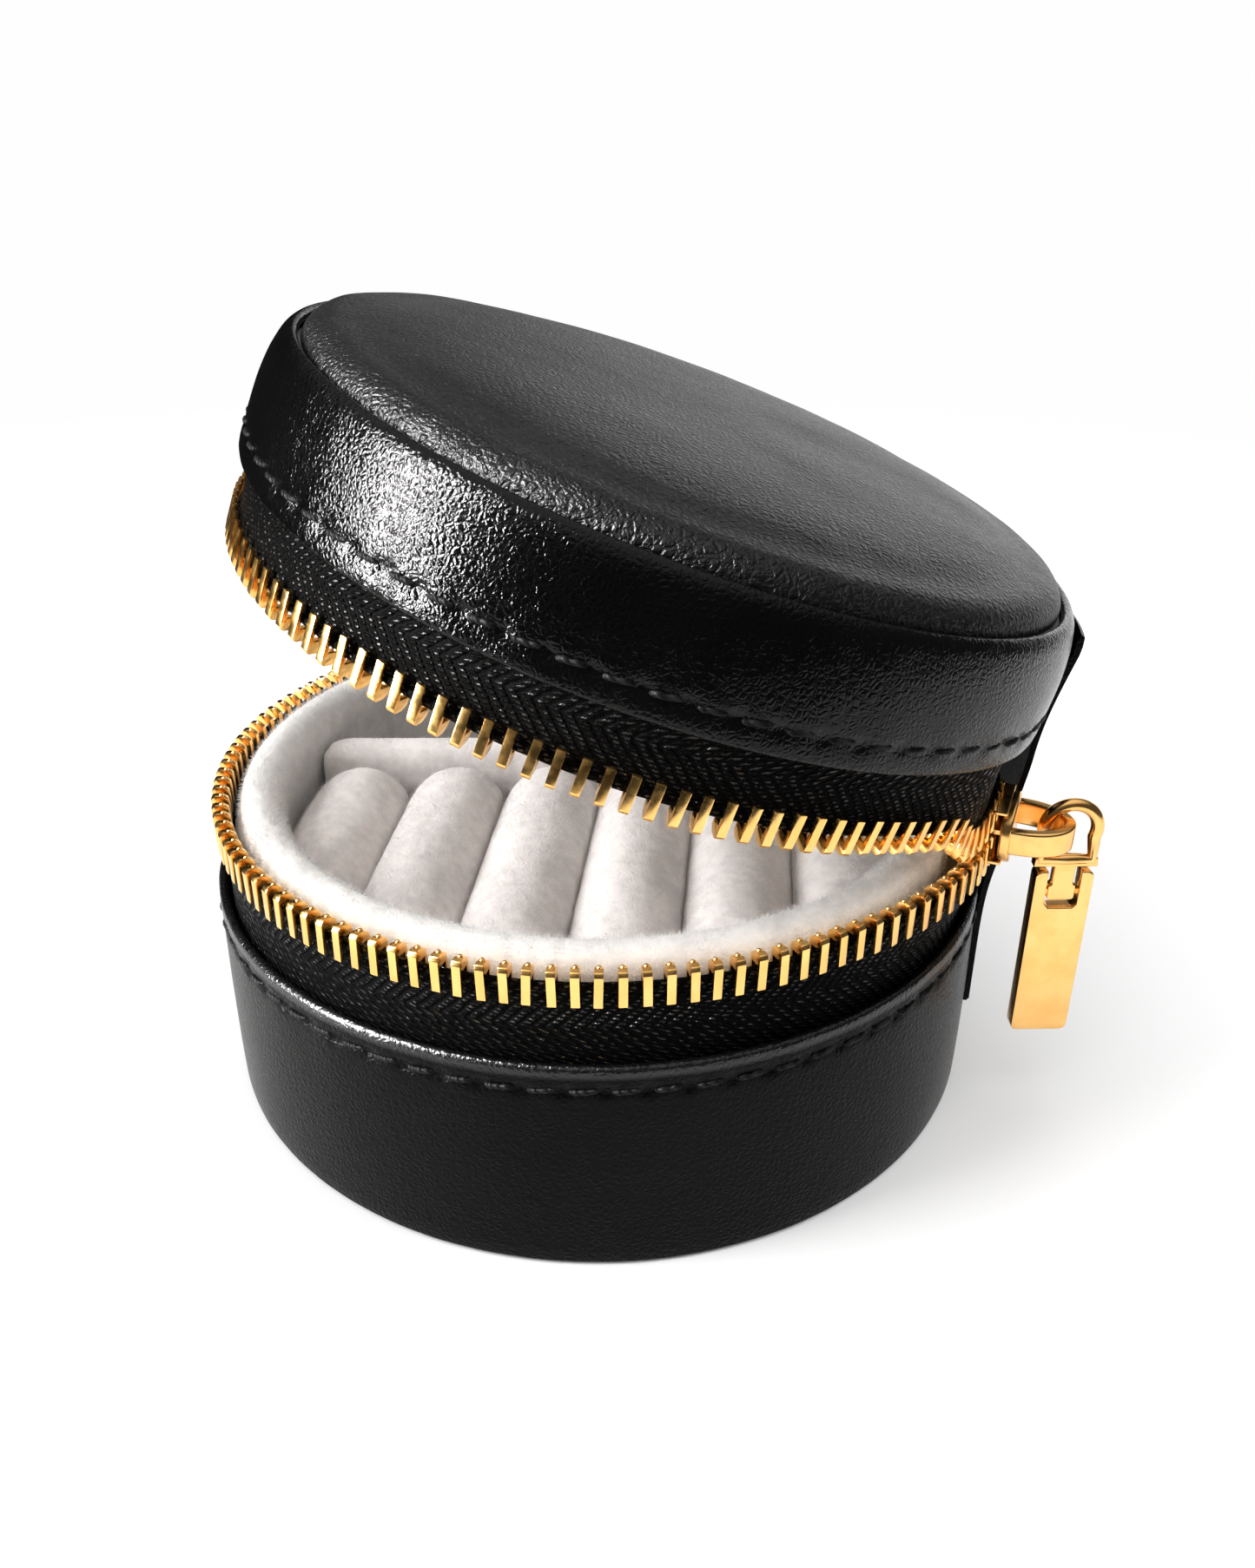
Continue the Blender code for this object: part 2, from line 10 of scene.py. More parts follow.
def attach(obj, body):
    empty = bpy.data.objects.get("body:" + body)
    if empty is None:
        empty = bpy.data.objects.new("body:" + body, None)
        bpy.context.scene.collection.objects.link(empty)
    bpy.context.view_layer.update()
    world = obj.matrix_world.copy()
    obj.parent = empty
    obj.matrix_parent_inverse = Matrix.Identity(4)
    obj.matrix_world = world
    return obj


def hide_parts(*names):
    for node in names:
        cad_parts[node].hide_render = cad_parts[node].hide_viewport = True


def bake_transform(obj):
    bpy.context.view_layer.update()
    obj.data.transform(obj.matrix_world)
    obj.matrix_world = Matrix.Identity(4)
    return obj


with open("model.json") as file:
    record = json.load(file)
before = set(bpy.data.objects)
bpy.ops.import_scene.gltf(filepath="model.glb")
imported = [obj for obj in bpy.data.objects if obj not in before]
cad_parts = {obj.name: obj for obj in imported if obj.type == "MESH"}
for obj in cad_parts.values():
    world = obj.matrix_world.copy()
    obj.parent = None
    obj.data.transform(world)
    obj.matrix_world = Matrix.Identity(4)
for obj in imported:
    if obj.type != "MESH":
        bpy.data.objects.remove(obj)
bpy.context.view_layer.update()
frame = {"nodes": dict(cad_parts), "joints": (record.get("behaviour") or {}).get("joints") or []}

MM = 0.001
HINGE = next(j for j in frame["joints"] if j["name"] == "lid_hinge")
PIVOT = Vector(HINGE["pos_m"]) / MM
AJAR = -math.radians(HINGE["range_deg"][0])     # the lid stands this far open at rest
HINGE_AZ = 90.0                                 # azimuth of the hinge
SLIDER_AZ = 67.0
SLIDER_Z = 35.75
R_OUT = 45.0
R_TAPE_IN, R_TAPE_OUT = 43.0, 43.5
Z_SEAM, Z_LID_SEAM = 22.3, 47.6
TOOTH_PITCH = 360.0 / 127
R_TOOTH_MID = 43.4
ZIP_START, TAPE_START, STRAP_HALF = 20.0, 13.6, 16.8
STRAP_SLACK = 1.9                               # the strap stands off the case this far at the hinge
ZIP_FLARE = 1.7                                 # the tape stands out this much beside the hinge
R_FILL = 36.9                                   # the interior fittings reach this radius
ROLL_PITCH, ROLL_BASE, ROLL_TOP = 11.8, 16.3, 31.0
ROLL_LEAN, X_LEAN = 0.12, -5.0                  # sideways drift per mm forward, none at X_LEAN
X_ROLL_BACK, X_DIV_FRONT, X_DIV_BACK = -9.1, -9.5, -14.5
Z_DIV_TOP = 31.8
STITCHES = 70                                   # in each seam
PUCKER = 0.045                                  # how far the leather swells between stitches
random.seed(7)


# ---------------------------------------------------------------- mesh helpers
def spline(points, per):
    """Open Catmull-Rom curve through the points, with per steps between two of them."""
    out = []
    last = len(points) - 1
    for i in range(last):
        p0, p1 = points[max(i - 1, 0)], points[i]
        p2, p3 = points[i + 1], points[min(i + 2, last)]
        for k in range(per):
            t = k / per
            out.append(tuple(
                0.5 * (2 * b + (c - a) * t + (2 * a - 5 * b + 4 * c - d) * t * t
                       + (3 * b - a - 3 * c + d) * t ** 3)
                for a, b, c, d in zip(p0, p1, p2, p3)))
    out.append(tuple(points[-1]))
    return out


def arc(cx, cy, radius, start, stop, steps):
    return [(cx + radius * math.cos(math.radians(start + (stop - start) * i / steps)),
             cy + radius * math.sin(math.radians(start + (stop - start) * i / steps)))
            for i in range(steps + 1)]


def add_object(name, bm, mat):
    mesh = bpy.data.meshes.new(name)
    bm.to_mesh(mesh)
    bm.free()
    ob = bpy.data.objects.new(name, mesh)
    bpy.context.collection.objects.link(ob)
    mesh.materials.append(mat)
    return ob


def make(name, bm, mat, sharp=40.0):
    """Turns a bmesh drawn in millimetres into a smooth-shaded object."""
    bmesh.ops.remove_doubles(bm, verts=bm.verts, dist=1.0e-4)
    bmesh.ops.recalc_face_normals(bm, faces=bm.faces)
    for v in bm.verts:
        v.co *= MM
    for f in bm.faces:
        f.smooth = True
    for e in bm.edges:
        e.smooth = e.calc_face_angle(0.0) < math.radians(sharp)
    return add_object(name, bm, mat)


def polar(r, az, z):
    a = math.radians(az)
    return Vector((r * math.cos(a), r * math.sin(a), z))


def sweep_rings(bm, rings, wrap, uv=None):
    """Quads through rings of points; uv gives each corner's place on the cloth in metres."""
    rows = [[bm.verts.new(p) for p in ring] for ring in rings]
    layer = bm.loops.layers.uv.new("cloth") if uv else None
    n, m = len(rows), len(rows[0])
    for i in range(n if wrap else n - 1):
        i2 = (i + 1) % n
        for j in range(m):
            k = (j + 1) % m
            f = bm.faces.new((rows[i][j], rows[i][k], rows[i2][k], rows[i2][j]))
            if layer:
                spots = ((i, j), (i, j + 1), (i + 1, j + 1), (i + 1, j))
                for loop, (a, b) in zip(f.loops, spots):
                    loop[layer].uv = uv(a, b)
    if not wrap:
        bm.faces.new(rows[0])
        bm.faces.new(list(reversed(rows[-1])))


def turned(name, profile, mat, segments=288, start=0.0, stop=360.0, shape=None, place=None,
           cloth=False, sharp=40.0):
    """Turns a closed (r, z) outline about Z. shape moves (az, r, z); place moves the finished point."""
    full = abs(stop - start - 360.0) < 1e-6
    count = segments if full else segments + 1
    rings = []
    for i in range(count):
        az = start + (stop - start) * i / segments
        ring = []
        for r, z in profile:
            if shape:
                r, z = shape(az, r, z)
            p = polar(r, az, z)
            ring.append(place(p) if place else p)
        rings.append(ring)
    run = [0.0]
    for a, b in zip(profile, profile[1:] + profile[:1]):
        run.append(run[-1] + math.dist(a, b))
    step = math.radians((stop - start) / segments) * R_TAPE_OUT
    uv = (lambda a, b: (a * step * MM, run[b] * MM)) if cloth else None
    bm = bmesh.new()
    sweep_rings(bm, rings, full, uv)
    return make(name, bm, mat, sharp)


def dome(name, line, mat, segments=192, shape=None, place=None, sharp=40.0):
    """Turns an open (r, z) line from the axis back to the axis."""
    bm = bmesh.new()
    rows = []
    for i in range(segments):
        az = 360.0 * i / segments
        row = []
        for r, z in line[1:-1]:
            if shape:
                r, z = shape(az, r, z)
            p = polar(r, az, z)
            row.append(bm.verts.new(place(p) if place else p))
        rows.append(row)
    ends = []
    for z in (line[0][1], line[-1][1]):
        p = Vector((0.0, 0.0, z))
        ends.append(bm.verts.new(place(p) if place else p))
    for i in range(segments):
        a, b = rows[i], rows[(i + 1) % segments]
        bm.faces.new((ends[0], a[0], b[0]))
        for j in range(len(a) - 1):
            bm.faces.new((a[j], a[j + 1], b[j + 1], b[j]))
        bm.faces.new((ends[1], b[-1], a[-1]))
    return make(name, bm, mat, sharp)


def on_lid(p):
    """A point drawn with the lid shut, moved to where the lid stands at rest."""
    return PIVOT + Matrix.Rotation(-AJAR, 3, 'X') @ (p - PIVOT)


class Bend:
    """Rest shape of something that follows the base before start and the lid after end."""

    def __init__(self, start, end):
        self.start, self.end = Vector(start), Vector(end)

    def weight(self, p):
        d = self.end - self.start
        t = min(1.0, max(0.0, (p - self.start).dot(d) / d.length_squared))
        return t * t * (3.0 - 2.0 * t)

    def __call__(self, p):
        rest = p
        for _ in range(12):
            turn = Matrix.Rotation(-AJAR * self.weight(rest), 3, 'X')
            rest = PIVOT + turn @ (p - PIVOT)
        return rest

    def hang(self, ob):
        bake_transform(ob)


ZIP_BEND = Bend((0.0, 40.4, 37.6), (0.0, 34.8, 43.8))
STRAP_BEND = Bend((0.0, 46.0, 29.0), (0.0, 46.0, 41.0))


# ------------------------------------------------------------------- materials
class Nodes:
    """Small helper that adds shader nodes by type and wires named inputs."""

    def __init__(self, name):
        self.mat = bpy.data.materials.new(name)
        self.mat.use_nodes = True
        self.tree = self.mat.node_tree
        self.shader = self.tree.nodes["Principled BSDF"]

    def add(self, kind, inputs=None, **settings):
        node = self.tree.nodes.new("ShaderNode" + kind)
        for key, value in settings.items():
            setattr(node, key, value)
        for key, value in (inputs or {}).items():
            self.wire(node.inputs[key], value)
        return node

    def wire(self, socket, value):
        if isinstance(value, bpy.types.NodeSocket):
            self.tree.links.new(value, socket)
        else:
            socket.default_value = value

    def math(self, operation, a, b=None, c=None):
        node = self.add("Math", operation=operation)
        for socket, value in zip(node.inputs, (a, b, c)):
            if value is not None:
                self.wire(socket, value)
        return node.outputs[0]

    def set(self, **values):
        for key, value in values.items():
            self.wire(self.shader.inputs[key.replace("_", " ")], value)

    def position(self):
        return self.add("TexCoord").outputs["Object"]

    def noise(self, scale, vector, detail=4.0, rough=0.55):
        node = self.add("TexNoise", {"Scale": scale, "Detail": detail, "Roughness": rough,
                                     "Vector": vector})
        return node.outputs["Fac"], node.outputs["Color"]

    def remap(self, value, low, high, to_low=0.0, to_high=1.0):
        node = self.add("MapRange", {"Value": value, "From Min": low, "From Max": high,
                                     "To Min": to_low, "To Max": to_high})
        node.interpolation_type = 'SMOOTHSTEP'
        return node.outputs["Result"]

    def blend(self, factor, a, b):
        node = self.add("Mix", data_type='RGBA')
        for index, value in ((0, factor), (6, a), (7, b)):
            self.wire(node.inputs[index], value)
        return node.outputs[2]

    def bump(self, height, distance, strength=1.0):
        inputs = {"Height": height, "Distance": distance, "Strength": strength}
        return self.add("Bump", inputs).outputs["Normal"]


CREST_GLOSS = 0.42


def leather(name, rough, depth, cell, wrinkle, tone=0.0016, gloss=0.2, crest=None):
    """Black pebbled synthetic leather; above the crest height it is rubbed to a higher gloss."""
    n = Nodes(name)
    pos = n.position()
    drift = n.noise(260.0, pos, 2.0)[1]
    drift = n.add("VectorMath", {0: drift, 1: (0.5, 0.5, 0.5)}, operation='SUBTRACT').outputs[0]
    drift = n.add("VectorMath", {0: drift, "Scale": 0.0016}, operation='SCALE').outputs[0]
    bent = n.add("VectorMath", {0: pos, 1: drift}, operation='ADD').outputs[0]
    pebble = n.add("TexVoronoi", {"Scale": 1.0 / cell, "Vector": bent, "Randomness": 1.0},
                   feature='DISTANCE_TO_EDGE').outputs["Distance"]
    pebble = n.remap(pebble, 0.0, 0.34)
    fine = n.add("TexVoronoi", {"Scale": 2.3 / cell, "Vector": bent},
                 feature='DISTANCE_TO_EDGE').outputs["Distance"]
    fine = n.remap(fine, 0.0, 0.4)
    pores = n.noise(5200.0, pos, 3.0)[0]
    crease = n.add("TexVoronoi", {"Scale": 0.36 / cell, "Vector": bent, "Randomness": 1.0},
                   feature='DISTANCE_TO_EDGE').outputs["Distance"]
    crease = n.remap(crease, 0.0, 0.10)
    swell = n.noise(330.0, pos, 3.0, 0.6)[0]
    height = n.math('MULTIPLY_ADD', pebble, 0.62, n.math('MULTIPLY', fine, 0.24))
    height = n.math('MULTIPLY_ADD', pores, 0.16, height)
    height = n.math('MULTIPLY_ADD', crease, 0.55 * wrinkle, height)
    height = n.math('MULTIPLY_ADD', swell, 1.3 * wrinkle, height)
    normal = n.bump(height, depth)
    worn = n.noise(45.0, pos, 5.0)[0]
    roughness = n.math('MULTIPLY_ADD', n.math('SUBTRACT', worn, 0.5), 0.16, rough)
    roughness = n.math('MULTIPLY_ADD', pebble, -0.05, roughness)
    colour = n.blend(n.remap(worn, 0.3, 0.75), (tone * 0.7, tone * 0.7, tone * 0.72, 1.0),
                     (tone * 1.5, tone * 1.48, tone * 1.5, 1.0))
    n.set(Base_Color=colour, Roughness=roughness, Normal=normal)
    if crest:
        above_floor = n.add("SeparateXYZ", {0: pos}).outputs[2]
        gloss = n.remap(above_floor, (crest - 0.7) * MM, (crest + 0.1) * MM, gloss, CREST_GLOSS)
    n.set(Specular_IOR_Level=gloss)
    return n.mat


TWILL_BAND, TWILL_RIDGE, TWILL_BEAD = 0.0056, 0.00125, 0.00064


def tape_cloth():
    """Black zip tape: twill ridges that change direction in bands, each ridge a row of small beads."""
    n = Nodes("zip_tape_twill")
    uv = n.add("UVMap", uv_map="cloth").outputs["UV"]
    split = n.add("SeparateXYZ", {0: uv})
    wander = n.noise(600.0, n.position(), 2.0)[0]
    u = n.math('MULTIPLY_ADD', n.math('SUBTRACT', wander, 0.5), 0.0007, split.outputs[0])
    v = split.outputs[1]
    chevron = n.math('PINGPONG', v, TWILL_BAND)
    ridge = n.math('SINE', n.math('MULTIPLY', n.math('ADD', u, chevron), 2.0 * math.pi / TWILL_RIDGE))
    ridge = n.remap(ridge, -0.9, 0.7)
    along = n.math('SUBTRACT', n.math('MULTIPLY', v, 1.3), n.math('MULTIPLY', u, 0.35))
    bead = n.math('SINE', n.math('MULTIPLY', along, 2.0 * math.pi / TWILL_BEAD))
    bead = n.remap(bead, -0.8, 0.6)
    fibre = n.noise(7000.0, n.position(), 2.0)[0]
    height = n.math('MULTIPLY', ridge, n.math('MULTIPLY_ADD', bead, 0.85, 0.15))
    height = n.math('MULTIPLY_ADD', fibre, 0.20, height)
    glint = n.noise(1500.0, n.position(), 1.0)[0]
    glint = n.math('MULTIPLY', n.remap(glint, 0.42, 0.60), n.remap(height, 0.45, 0.95))
    n.set(Base_Color=n.blend(height, (0.0006, 0.0006, 0.0006, 1), (0.0030, 0.0030, 0.0032, 1)),
          Roughness=n.remap(glint, 0.0, 1.0, 0.50, 0.24), Normal=n.bump(height, 0.00055))
    n.set(Specular_IOR_Level=n.remap(glint, 0.0, 1.0, 0.02, 0.45))
    return n.mat


def thread():
    n = Nodes("black_thread")
    pos = n.position()
    ply = n.add("TexWave", {"Scale": 620.0, "Distortion": 2.0, "Detail": 1.0, "Vector": pos},
                bands_direction='DIAGONAL').outputs["Fac"]
    fuzz = n.noise(7000.0, pos, 2.0)[0]
    height = n.math('MULTIPLY_ADD', fuzz, 0.3, ply)
    n.set(Base_Color=n.blend(ply, (0.0015, 0.0015, 0.0015, 1), (0.012, 0.012, 0.012, 1)),
          Roughness=n.remap(fuzz, 0.3, 0.7, 0.42, 0.6), Normal=n.bump(height, 0.00012))
    n.set(Specular_IOR_Level=0.09)
    return n.mat


def velvet(name, tone):
    """Short warm-grey pile: brushed patches, mottling and a soft sheen."""
    n = Nodes(name)
    pos = n.position()
    stretched = n.add("Mapping", {"Vector": pos, "Scale": (1.0, 2.4, 1.0)}).outputs[0]
    brushed = n.noise(85.0, stretched, 3.0, 0.5)[0]
    mottle = n.noise(620.0, pos, 3.0, 0.6)[0]
    fibre = n.noise(3400.0, pos, 3.0, 0.7)[0]
    shade = n.math('MULTIPLY_ADD', mottle, 0.45, n.math('MULTIPLY', brushed, 0.55))
    low = tuple(c * 0.84 for c in tone) + (1.0,)
    high = tuple(min(1.0, c * 1.08) for c in tone) + (1.0,)
    height = n.math('MULTIPLY_ADD', mottle, 1.1, fibre)
    n.set(Base_Color=n.blend(n.remap(shade, 0.34, 0.62), low, high),
          Roughness=n.remap(fibre, 0.3, 0.7, 0.92, 1.0), Normal=n.bump(height, 0.00016, 0.8))
    n.set(Specular_IOR_Level=0.12, Sheen_Weight=0.22, Sheen_Roughness=0.5,
          Sheen_Tint=(1.0, 0.99, 0.98, 1.0))
    return n.mat


def gold(name, rough, tone):
    """Polished gold plate with faint waviness and handling marks."""
    n = Nodes(name)
    pos = n.position()
    wave = n.noise(300.0, pos, 2.0)[0]
    smear = n.noise(900.0, pos, 4.0)[0]
    deep = tuple(c * k for c, k in zip(tone, (0.93, 0.88, 0.80))) + (1.0,)
    n.set(Base_Color=n.blend(n.remap(wave, 0.35, 0.65), deep, tone + (1.0,)),
          Roughness=n.remap(smear, 0.35, 0.7, rough, rough + 0.10),
          Normal=n.bump(wave, 0.00004, 0.5))
    n.set(Metallic=1.0)
    return n.mat


def plain_stuff(name, low, high, scale, rough, depth):
    """Card or foam that only shows from underneath or inside."""
    n = Nodes(name)
    pos = n.position()
    grain = n.noise(scale, pos, 5.0)[0]
    n.set(Base_Color=n.blend(grain, low + (1.0,), high + (1.0,)), Roughness=rough,
          Normal=n.bump(grain, depth))
    return n.mat


LEATHER_BASE = leather("leather_base", 0.28, 0.00005, 0.00070, 0.20, gloss=0.05, crest=24.3)
LEATHER_LID = leather("leather_lid_side", 0.18, 0.00005, 0.00062, 0.10, gloss=0.17)
LEATHER_TOP = leather("leather_lid_top", 0.40, 0.00014, 0.00074, 0.12, 0.0030, 0.31)
LEATHER_STRAP = leather("leather_strap", 0.40, 0.00006, 0.00070, 0.30, gloss=0.10)
TAPE = tape_cloth()
THREAD = thread()
VELVET_RIM = velvet("velvet_rim", (0.735, 0.73, 0.72))
VELVET_ROLL = velvet("velvet_rolls", (0.81, 0.77, 0.75))
# Painted shade: a darker copy of the same velvet, for the lid's underside pad and the compartment floor.
VELVET_SHADED = velvet("velvet_lining_painted_shade", (0.62, 0.60, 0.585))
GOLD_TEETH = gold("gold_teeth", 0.15, (0.99, 0.60, 0.20))
GOLD_PULL = gold("gold_pull", 0.17, (1.0, 0.59, 0.21))
BOARD = plain_stuff("grey_board", (0.26, 0.25, 0.23), (0.40, 0.38, 0.35), 900.0, 0.9, 0.00005)
FOAM = plain_stuff("cream_foam", (0.60, 0.57, 0.50), (0.78, 0.75, 0.68), 2500.0, 0.95, 0.0002)


# --------------------------------------------------------------------- leather
def seam_dip(az, z, seam, depth):
    """How far the stitch line pulls the leather in: a groove that deepens at each needle hole."""
    hole = 0.5 + 0.5 * math.cos(math.radians(az * STITCHES))
    width = 0.50 + 0.18 * hole
    return depth * (0.45 + 0.75 * hole ** 3) * math.exp(-((z - seam) / width) ** 2)


def uneven(p, size, amount):
    return amount * noise.noise(p / size)


def wall_shape(seam, depth, ripple, inner):
    """Pucker along the seam and slight waviness, on the outer face only."""
    def move(az, r, z):
        if r > inner:
            p = polar(r, az, z)
            r += uneven(p, 9.0, ripple) + uneven(p, 3.2, 0.35 * ripple)
            near = math.exp(-((z - seam) / 2.2) ** 2)
            r += PUCKER * near * math.sin(math.radians(az * STITCHES * 0.5)) - seam_dip(az, z, seam, depth)
        return r, z
    return move


def base_wall():
    inner = 43.9
    bottom = arc(44.25, 0.70, 0.66, -80.0, -8.0, 5)
    side = [(44.95, 2.2), (45.0, 5.0), (45.02, 10.0), (45.02, 14.0), (45.0, 18.0), (44.99, 20.2)]
    seam = [(44.98, 20.2 + 0.28 * i) for i in range(1, 15)]
    roll = arc(44.42, 24.55, 0.54, 8.0, 172.0, 8)
    down = [(inner, 24.0), (inner, 16.0), (inner, 8.0), (inner, 0.6)]
    outline = bottom + side + seam + roll + down
    ob = turned("base_wall_leather", outline, LEATHER_BASE, 560,
                shape=wall_shape(Z_SEAM, 0.34, 0.05, 44.2), sharp=70.0)
    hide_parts("base_side_wall")
    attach(ob, "base")


def lid_wall():
    inner = 43.8
    edge = arc(44.35, 45.45, 0.55, 190.0, 352.0, 8)
    seam = [(44.93 - 0.012 * i, 45.7 + 0.27 * i) for i in range(1, 15)]
    side = [(44.74, 50.0), (44.62, 51.5), (44.4, 53.0), (44.1, 54.5), (43.75, 55.7), (43.4, 56.6),
            (43.0, 57.2), (42.6, 57.55), (42.2, 57.6), (41.9, 57.35), (41.85, 56.9), (42.1, 56.5),
            (42.6, 55.9), (43.1, 54.2), (43.5, 52.0), (inner, 50.4), (inner, 47.5)]
    outline = edge + seam + spline([(44.78, 49.6)] + side, 2)[2:]
    ob = turned("lid_wall_leather", outline, LEATHER_LID, 560, place=on_lid,
                shape=wall_shape(Z_LID_SEAM, 0.24, 0.04, 43.95), sharp=70.0)
    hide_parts("lid_side_wall")
    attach(ob, "lid")


def stitches(name, radius, seam, node, body, place=None):
    """A ring of sewn stitches, each sinking into the leather at both ends."""
    bm = bmesh.new()
    for i in range(STITCHES):
        middle = (i + 0.5) * 360.0 / STITCHES
        half = 0.40 * 360.0 / STITCHES
        lean = 0.16 + random.uniform(-0.05, 0.05)
        lift = random.uniform(-0.05, 0.05)
        rings = []
        for s in range(9):
            t = -1.0 + s / 4.0
            thick = 0.27 * math.sqrt(max(0.02, 1.0 - abs(t) ** 5))
            sink = 0.42 * abs(t) ** 4
            ring = []
            for k in range(8):
                a = 2.0 * math.pi * k / 8.0
                ply = 1.0 + 0.14 * math.cos(2.0 * a + 9.0 * t)
                p = polar(radius - sink + lift + thick * ply * math.cos(a), middle + half * t,
                          seam + lean * t + thick * ply * 1.15 * math.sin(a))
                ring.append(place(p) if place else p)
            rings.append(ring)
        sweep_rings(bm, rings, False)
    ob = make(name, bm, THREAD, 80.0)
    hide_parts(node)
    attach(ob, body)


def lid_panel():
    """Padded leather top: a plump border roll, a soft crease inside it and a raised middle."""
    top = [(0.0, 62.0), (8.0, 61.97), (16.0, 61.88), (24.0, 61.66), (29.0, 61.36), (32.5, 60.92),
           (34.6, 60.45), (36.0, 60.13), (37.0, 59.98), (38.0, 59.88), (39.1, 59.68), (40.1, 59.22),
           (40.9, 58.5), (41.35, 57.7), (41.5, 57.0)]
    line = spline(top, 3) + [(40.9, 56.8), (20.0, 56.8), (0.0, 56.8)]

    def soft(az, r, z):
        if z > 57.6:
            p = polar(r, az, z)
            fade = min(1.0, (z - 57.6) / 1.5)
            z += fade * (uneven(p, 14.0, 0.14) + uneven(p, 5.0, 0.05))
        return r, z
    ob = dome("lid_panel_leather", line, LEATHER_TOP, 288, soft, on_lid, 60.0)
    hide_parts("lid_top_panel")
    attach(ob, "lid")


def strap():
    """One leather strap over the gap: glued to the base below and to the lid above."""
    outer, inner = 45.72, 45.06
    low, high = 8.6, 55.4
    up = [(outer, low + 0.4 + 0.75 * i) for i in range(60)]
    over = [(outer - 0.1, 54.2), (outer - 0.35, high - 0.2), (inner - 0.2, high), (inner - 0.2, 54.2)]
    back = [(inner, z) for _, z in reversed(up)]
    outline = [(outer - 0.3, low)] + up + over + back + [(inner, low)]

    def stand_off(az, r, z):
        return r + STRAP_SLACK * math.exp(-((z - PIVOT.z) / 7.5) ** 2), z
    ob = turned("hinge_strap_leather", outline, LEATHER_STRAP, 48, HINGE_AZ - STRAP_HALF,
                HINGE_AZ + STRAP_HALF, shape=stand_off, place=STRAP_BEND, sharp=60.0)
    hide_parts("hinge_strap_lower", "hinge_strap_upper")
    STRAP_BEND.hang(ob)
    lining = [(R_TAPE_OUT, 20.0 + 0.8 * i) for i in range(37)]
    lining += [(R_TAPE_IN, 48.8 - 0.8 * i) for i in range(37)]
    ob = turned("hinge_lining_tape", lining, TAPE, 30, HINGE_AZ - 13.2, HINGE_AZ + 13.2,
                place=STRAP_BEND, cloth=True)
    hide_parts("hinge_lining_lower", "hinge_lining_upper")
    STRAP_BEND.hang(ob)


# ------------------------------------------------------------------------- zip
def ease(value, start, end):
    t = min(1.0, max(0.0, (value - start) / (end - start)))
    return t * t * (3.0 - 2.0 * t)


def flare(az):
    """How far the zip stands out from the round beside the hinge, where the slider pulls it."""
    off = abs((az - HINGE_AZ + 180.0) % 360.0 - 180.0)
    return ZIP_FLARE * ease(off, 62.0, 30.0)


def tape(name, low, high, node, bend=None):
    """Zip tape: a woven band with a thick beaded edge where the teeth grip it."""
    top = high > 45.0
    edge, far = (low, high) if top else (high, low)
    sign = 1.0 if top else -1.0
    bead = arc(43.35, edge + sign * 1.2, 0.52, -90.0 if top else 90.0, 90.0 if top else -90.0, 8)
    rows = [edge + sign * s for s in (2.4, 3.6, 5.0, 6.5, 8.0, 10.0)]
    rows = [z for z in rows if (z < far) == top] + [far]
    outline = bead + [(43.45, z) for z in rows] + [(43.0, z) for z in reversed(rows)]
    outline += arc(43.35, edge + sign * 1.2, 0.52, 90.0 if top else -90.0,
                   270.0 if top else -270.0, 8)[1:-1]

    def weave_wave(az, r, z):
        p = polar(r, az, z)
        out = ease(z, 46.5, 39.0) if top else ease(z, 24.5, 32.5)
        return r + uneven(p, 7.0, 0.05) + flare(az) * out, z
    ob = turned(name, outline, TAPE, 420, HINGE_AZ + TAPE_START, HINGE_AZ + 360.0 - TAPE_START,
                shape=weave_wave, place=bend, cloth=True)
    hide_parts(node)
    return ob


def tooth_form():
    """One zip tooth in (radius, across, height from its tip): legs either side of the tape, a head, a nub."""
    outline = [(44.40, -3.85), (44.45, -0.45), (44.2, -0.08), (43.9, 0.0), (43.1, -0.12),
               (42.55, -0.55), (42.45, -1.2), (42.45, -3.3), (42.85, -3.3), (42.85, -1.3),
               (43.9, -1.3), (43.9, -3.85)]
    bm = bmesh.new()
    for side in (-0.44, 0.44):
        for p in outline:
            bm.verts.new((p[0], side, p[1]))
    bm.verts.ensure_lookup_table()
    n = len(outline)
    bm.faces.new([bm.verts[i] for i in range(n)])
    bm.faces.new([bm.verts[2 * n - 1 - i] for i in range(n)])
    for i in range(n):
        k = (i + 1) % n
        bm.faces.new((bm.verts[i], bm.verts[k], bm.verts[n + k], bm.verts[n + i]))
    bmesh.ops.recalc_face_normals(bm, faces=bm.faces)
    edges = [e for e in bm.edges if e.calc_face_angle(0.0) > 0.6]
    bmesh.ops.bevel(bm, geom=edges, offset=0.10, segments=2, profile=0.6, affect='EDGES')
    nub = bmesh.ops.create_icosphere(bm, subdivisions=2, radius=0.30)["verts"]
    for v in nub:
        v.co = Vector((43.25 + v.co.x, v.co.y * 0.9, -0.12 + v.co.z * 0.8))
    bmesh.ops.recalc_face_normals(bm, faces=bm.faces)
    mesh = bpy.data.meshes.new("tooth")
    bm.to_mesh(mesh)
    bm.free()
    return mesh


